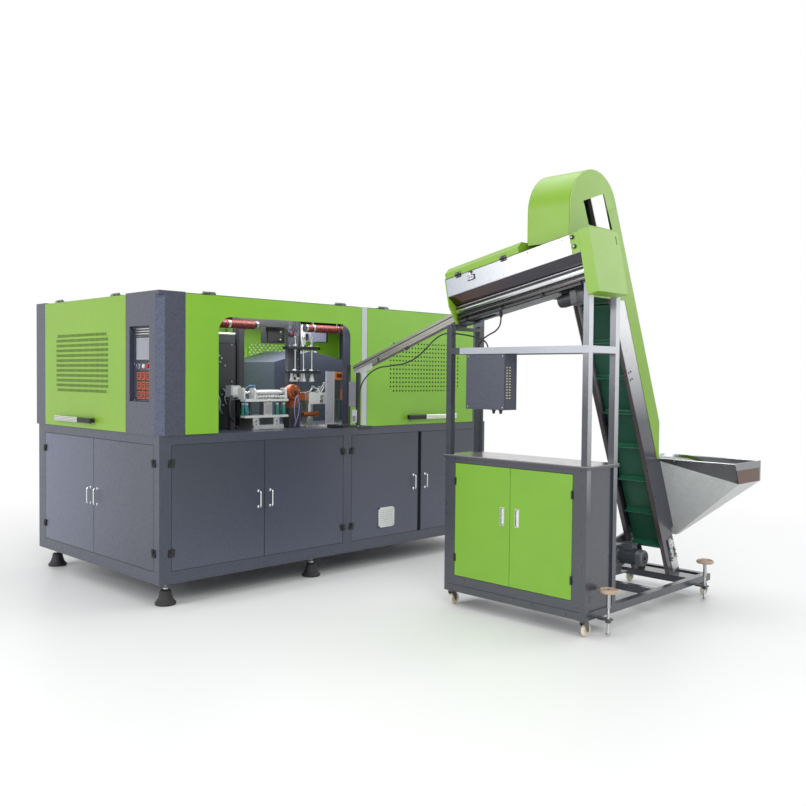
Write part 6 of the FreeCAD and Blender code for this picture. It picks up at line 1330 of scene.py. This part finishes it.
# drive under the bed, and the gland of the sorter cable
c = (1512, 0, -331)
s.prism(rounded(1472, 1552, -376, -286, 10), "y", 130, 172, 3)
s.lathe(c, "y", [(34, 172), (38, 175), (38, 250), (35, 252), (35, 266), (30, 269)], 40, 4)
for y in range(182, 239, 7):
    s.lathe(c, "y", [(38, y), (39.5, y + 1), (39.5, y + 3), (38, y + 4), (38, y)], 40, 4)
domes(s, grid((1482, 1542), 130, (-366, -296)), "y", 4, -2.4, 5)
s.box((1490, 1534), (190, 240), (-293, -286), 5)
s.turn = None
s.lathe((1500, -1500, 0), "z", [(6, 1850), (9, 1856), (10.5, 1857), (10.5, 1868), (10, 1868), (10, 1893)], 24, 5)
s.piece("roller_bed", "line", [
    dark, material("rail_chrome", CHROME, colour=(0.74, 0.75, 0.77), rough=0.12),
    material("rail_dark", BRIGHT, colour=(0.16, 0.15, 0.15), rough=0.16),
    material("box_grey", MOTOR, colour=srgb(74, 75, 80)), material("motor_dark", MOTOR, colour=srgb(58, 59, 64)),
    black], "dark_case", ["sorter_bed"])

s = Shape(tilt)
s.boxes(0, (1382.6, 1383.8, -2, 57, -115, 0), (1382.6, 1385, 56, 57.6, -115, 0))
s.piece("end_box_flange", "line", [soft_green], "green")


# ------------------------------------------------------------------ chute
DROP, REACH = 360.0, 1022.0
SLOPE, RUN = math.atan2(DROP, REACH), math.hypot(DROP, REACH)


def chute(p):
    """X, length down the chute and height over its rails' top."""
    return sloping(p, SLOPE, -1162, 1909)


s = Shape(chute)
section = [(1484, 0), (1496, 0), (1496, -58), (1484, -58), (1484, -46), (1487, -46), (1487, -41), (1484, -41),
           (1484, -24), (1487.5, -24), (1487.5, -16), (1484, -16), (1484, -7), (1485.5, -7), (1485.5, -5), (1484, -5)]
s.prism(section, "y", 3, RUN, 0)
s.prism([(3024 - x, t) for x, t in section], "y", 3, RUN, 0)
s.boxes(0, (1496, 1498.5, 3, RUN, -10, -4), (1525.5, 1528, 3, RUN, -10, -4))
s.boxes(1, (1485, 1487.6, 4, RUN - 1, -23.8, -16.2), (1536.4, 1539, 4, RUN - 1, -23.8, -16.2))
for y in (60, RUN * 0.5, RUN - 60):
    s.box((1484, 1540), (y, y + 30), (-66, -58), 2)
    bolts(s, grid((1490, 1534), y + 15, -66), "z", 5, -4, 3)
for x, height in ((1484, -3), (1540, 3)):
    domes(s, grid(x, (140, 420, 760, 1000), -34), "x", 4.4, height, 3)
for y in (30, 800):
    s.box((1479, 1484), (y, y + 14), (-62, -36), 4)
    s.lathe((1480.5, y + 7, 0), "z", [(5, -66), (5, -62)], 14, 4)
s.piece("preform_chute", "line", [
    material("chute_aluminium", ALU, colour=(0.45, 0.43, 0.41), rough=0.34, metal=0.6), dark,
    material("saddle_dark", DARK, colour=srgb(84, 78, 76)), turned, black], "alu", ["chute_track"])

s = Shape()
s.boxes(0, (1424, 1560, -275, 70, 1108, 1116), (1424, 1560, 40, 70, 1090.3, 1108), (1424, 1560, -275, -269, 1090, 1108))
bolts(s, grid((1440, 1544), (-255, -60, 55), 1116), "z", 6, 5, 2)
for y, top in ((-125, 1556), (-232, 1500)):
    s.prism(rounded(1458, 1483.6, y, y + 26, 3), "z", 1116, top - 2, 0)
    s.prism(rounded(1457.6, 1483.7, y - 0.4, y + 26.4, 3), "z", top - 3, top, 3)
    s.box((1450, 1492), (y - 10, y + 36), (1116, 1121), 0)
    bolts(s, grid((1454, 1488), y + 13, 1121), "z", 4, 4, 2)
s.boxes(4, (1464, 1467, -206, -125, 1254, 1436), (1437.6, 1440, -226, -196, 1150, 1190))
domes(s, grid(1464, (-196, -135), (1270, 1420)), "x", 4, -2, 2)
s.prism(rounded(-232, -190, 1140, 1232, 5), "x", 1440, 1458, 5)
domes(s, grid(1440, -211, (1148, 1224)), "x", 3.6, -2, 2)
s.box((1484, 1530), (-120, -104), (1300, 1312), 5)
s.turn = chute
s.boxes(5, (1479.7, 1483.7, RUN - 200, RUN - 10, -88, -48), (1476, 1479.7, RUN - 196, RUN - 14, -56, -50))
domes(s, grid(1479.7, (RUN - 185, RUN - 105, RUN - 25), -72), "x", 5, -3, 2)
s.piece("chute_support", "line", [
    dark, dark, turned, black, material("stand_plate", look("paint", srgb(128, 130, 138), 0.4)),
    material("stand_white", look("paint", srgb(196, 198, 200), 0.36))], "dark_case", ["chute_stand"])
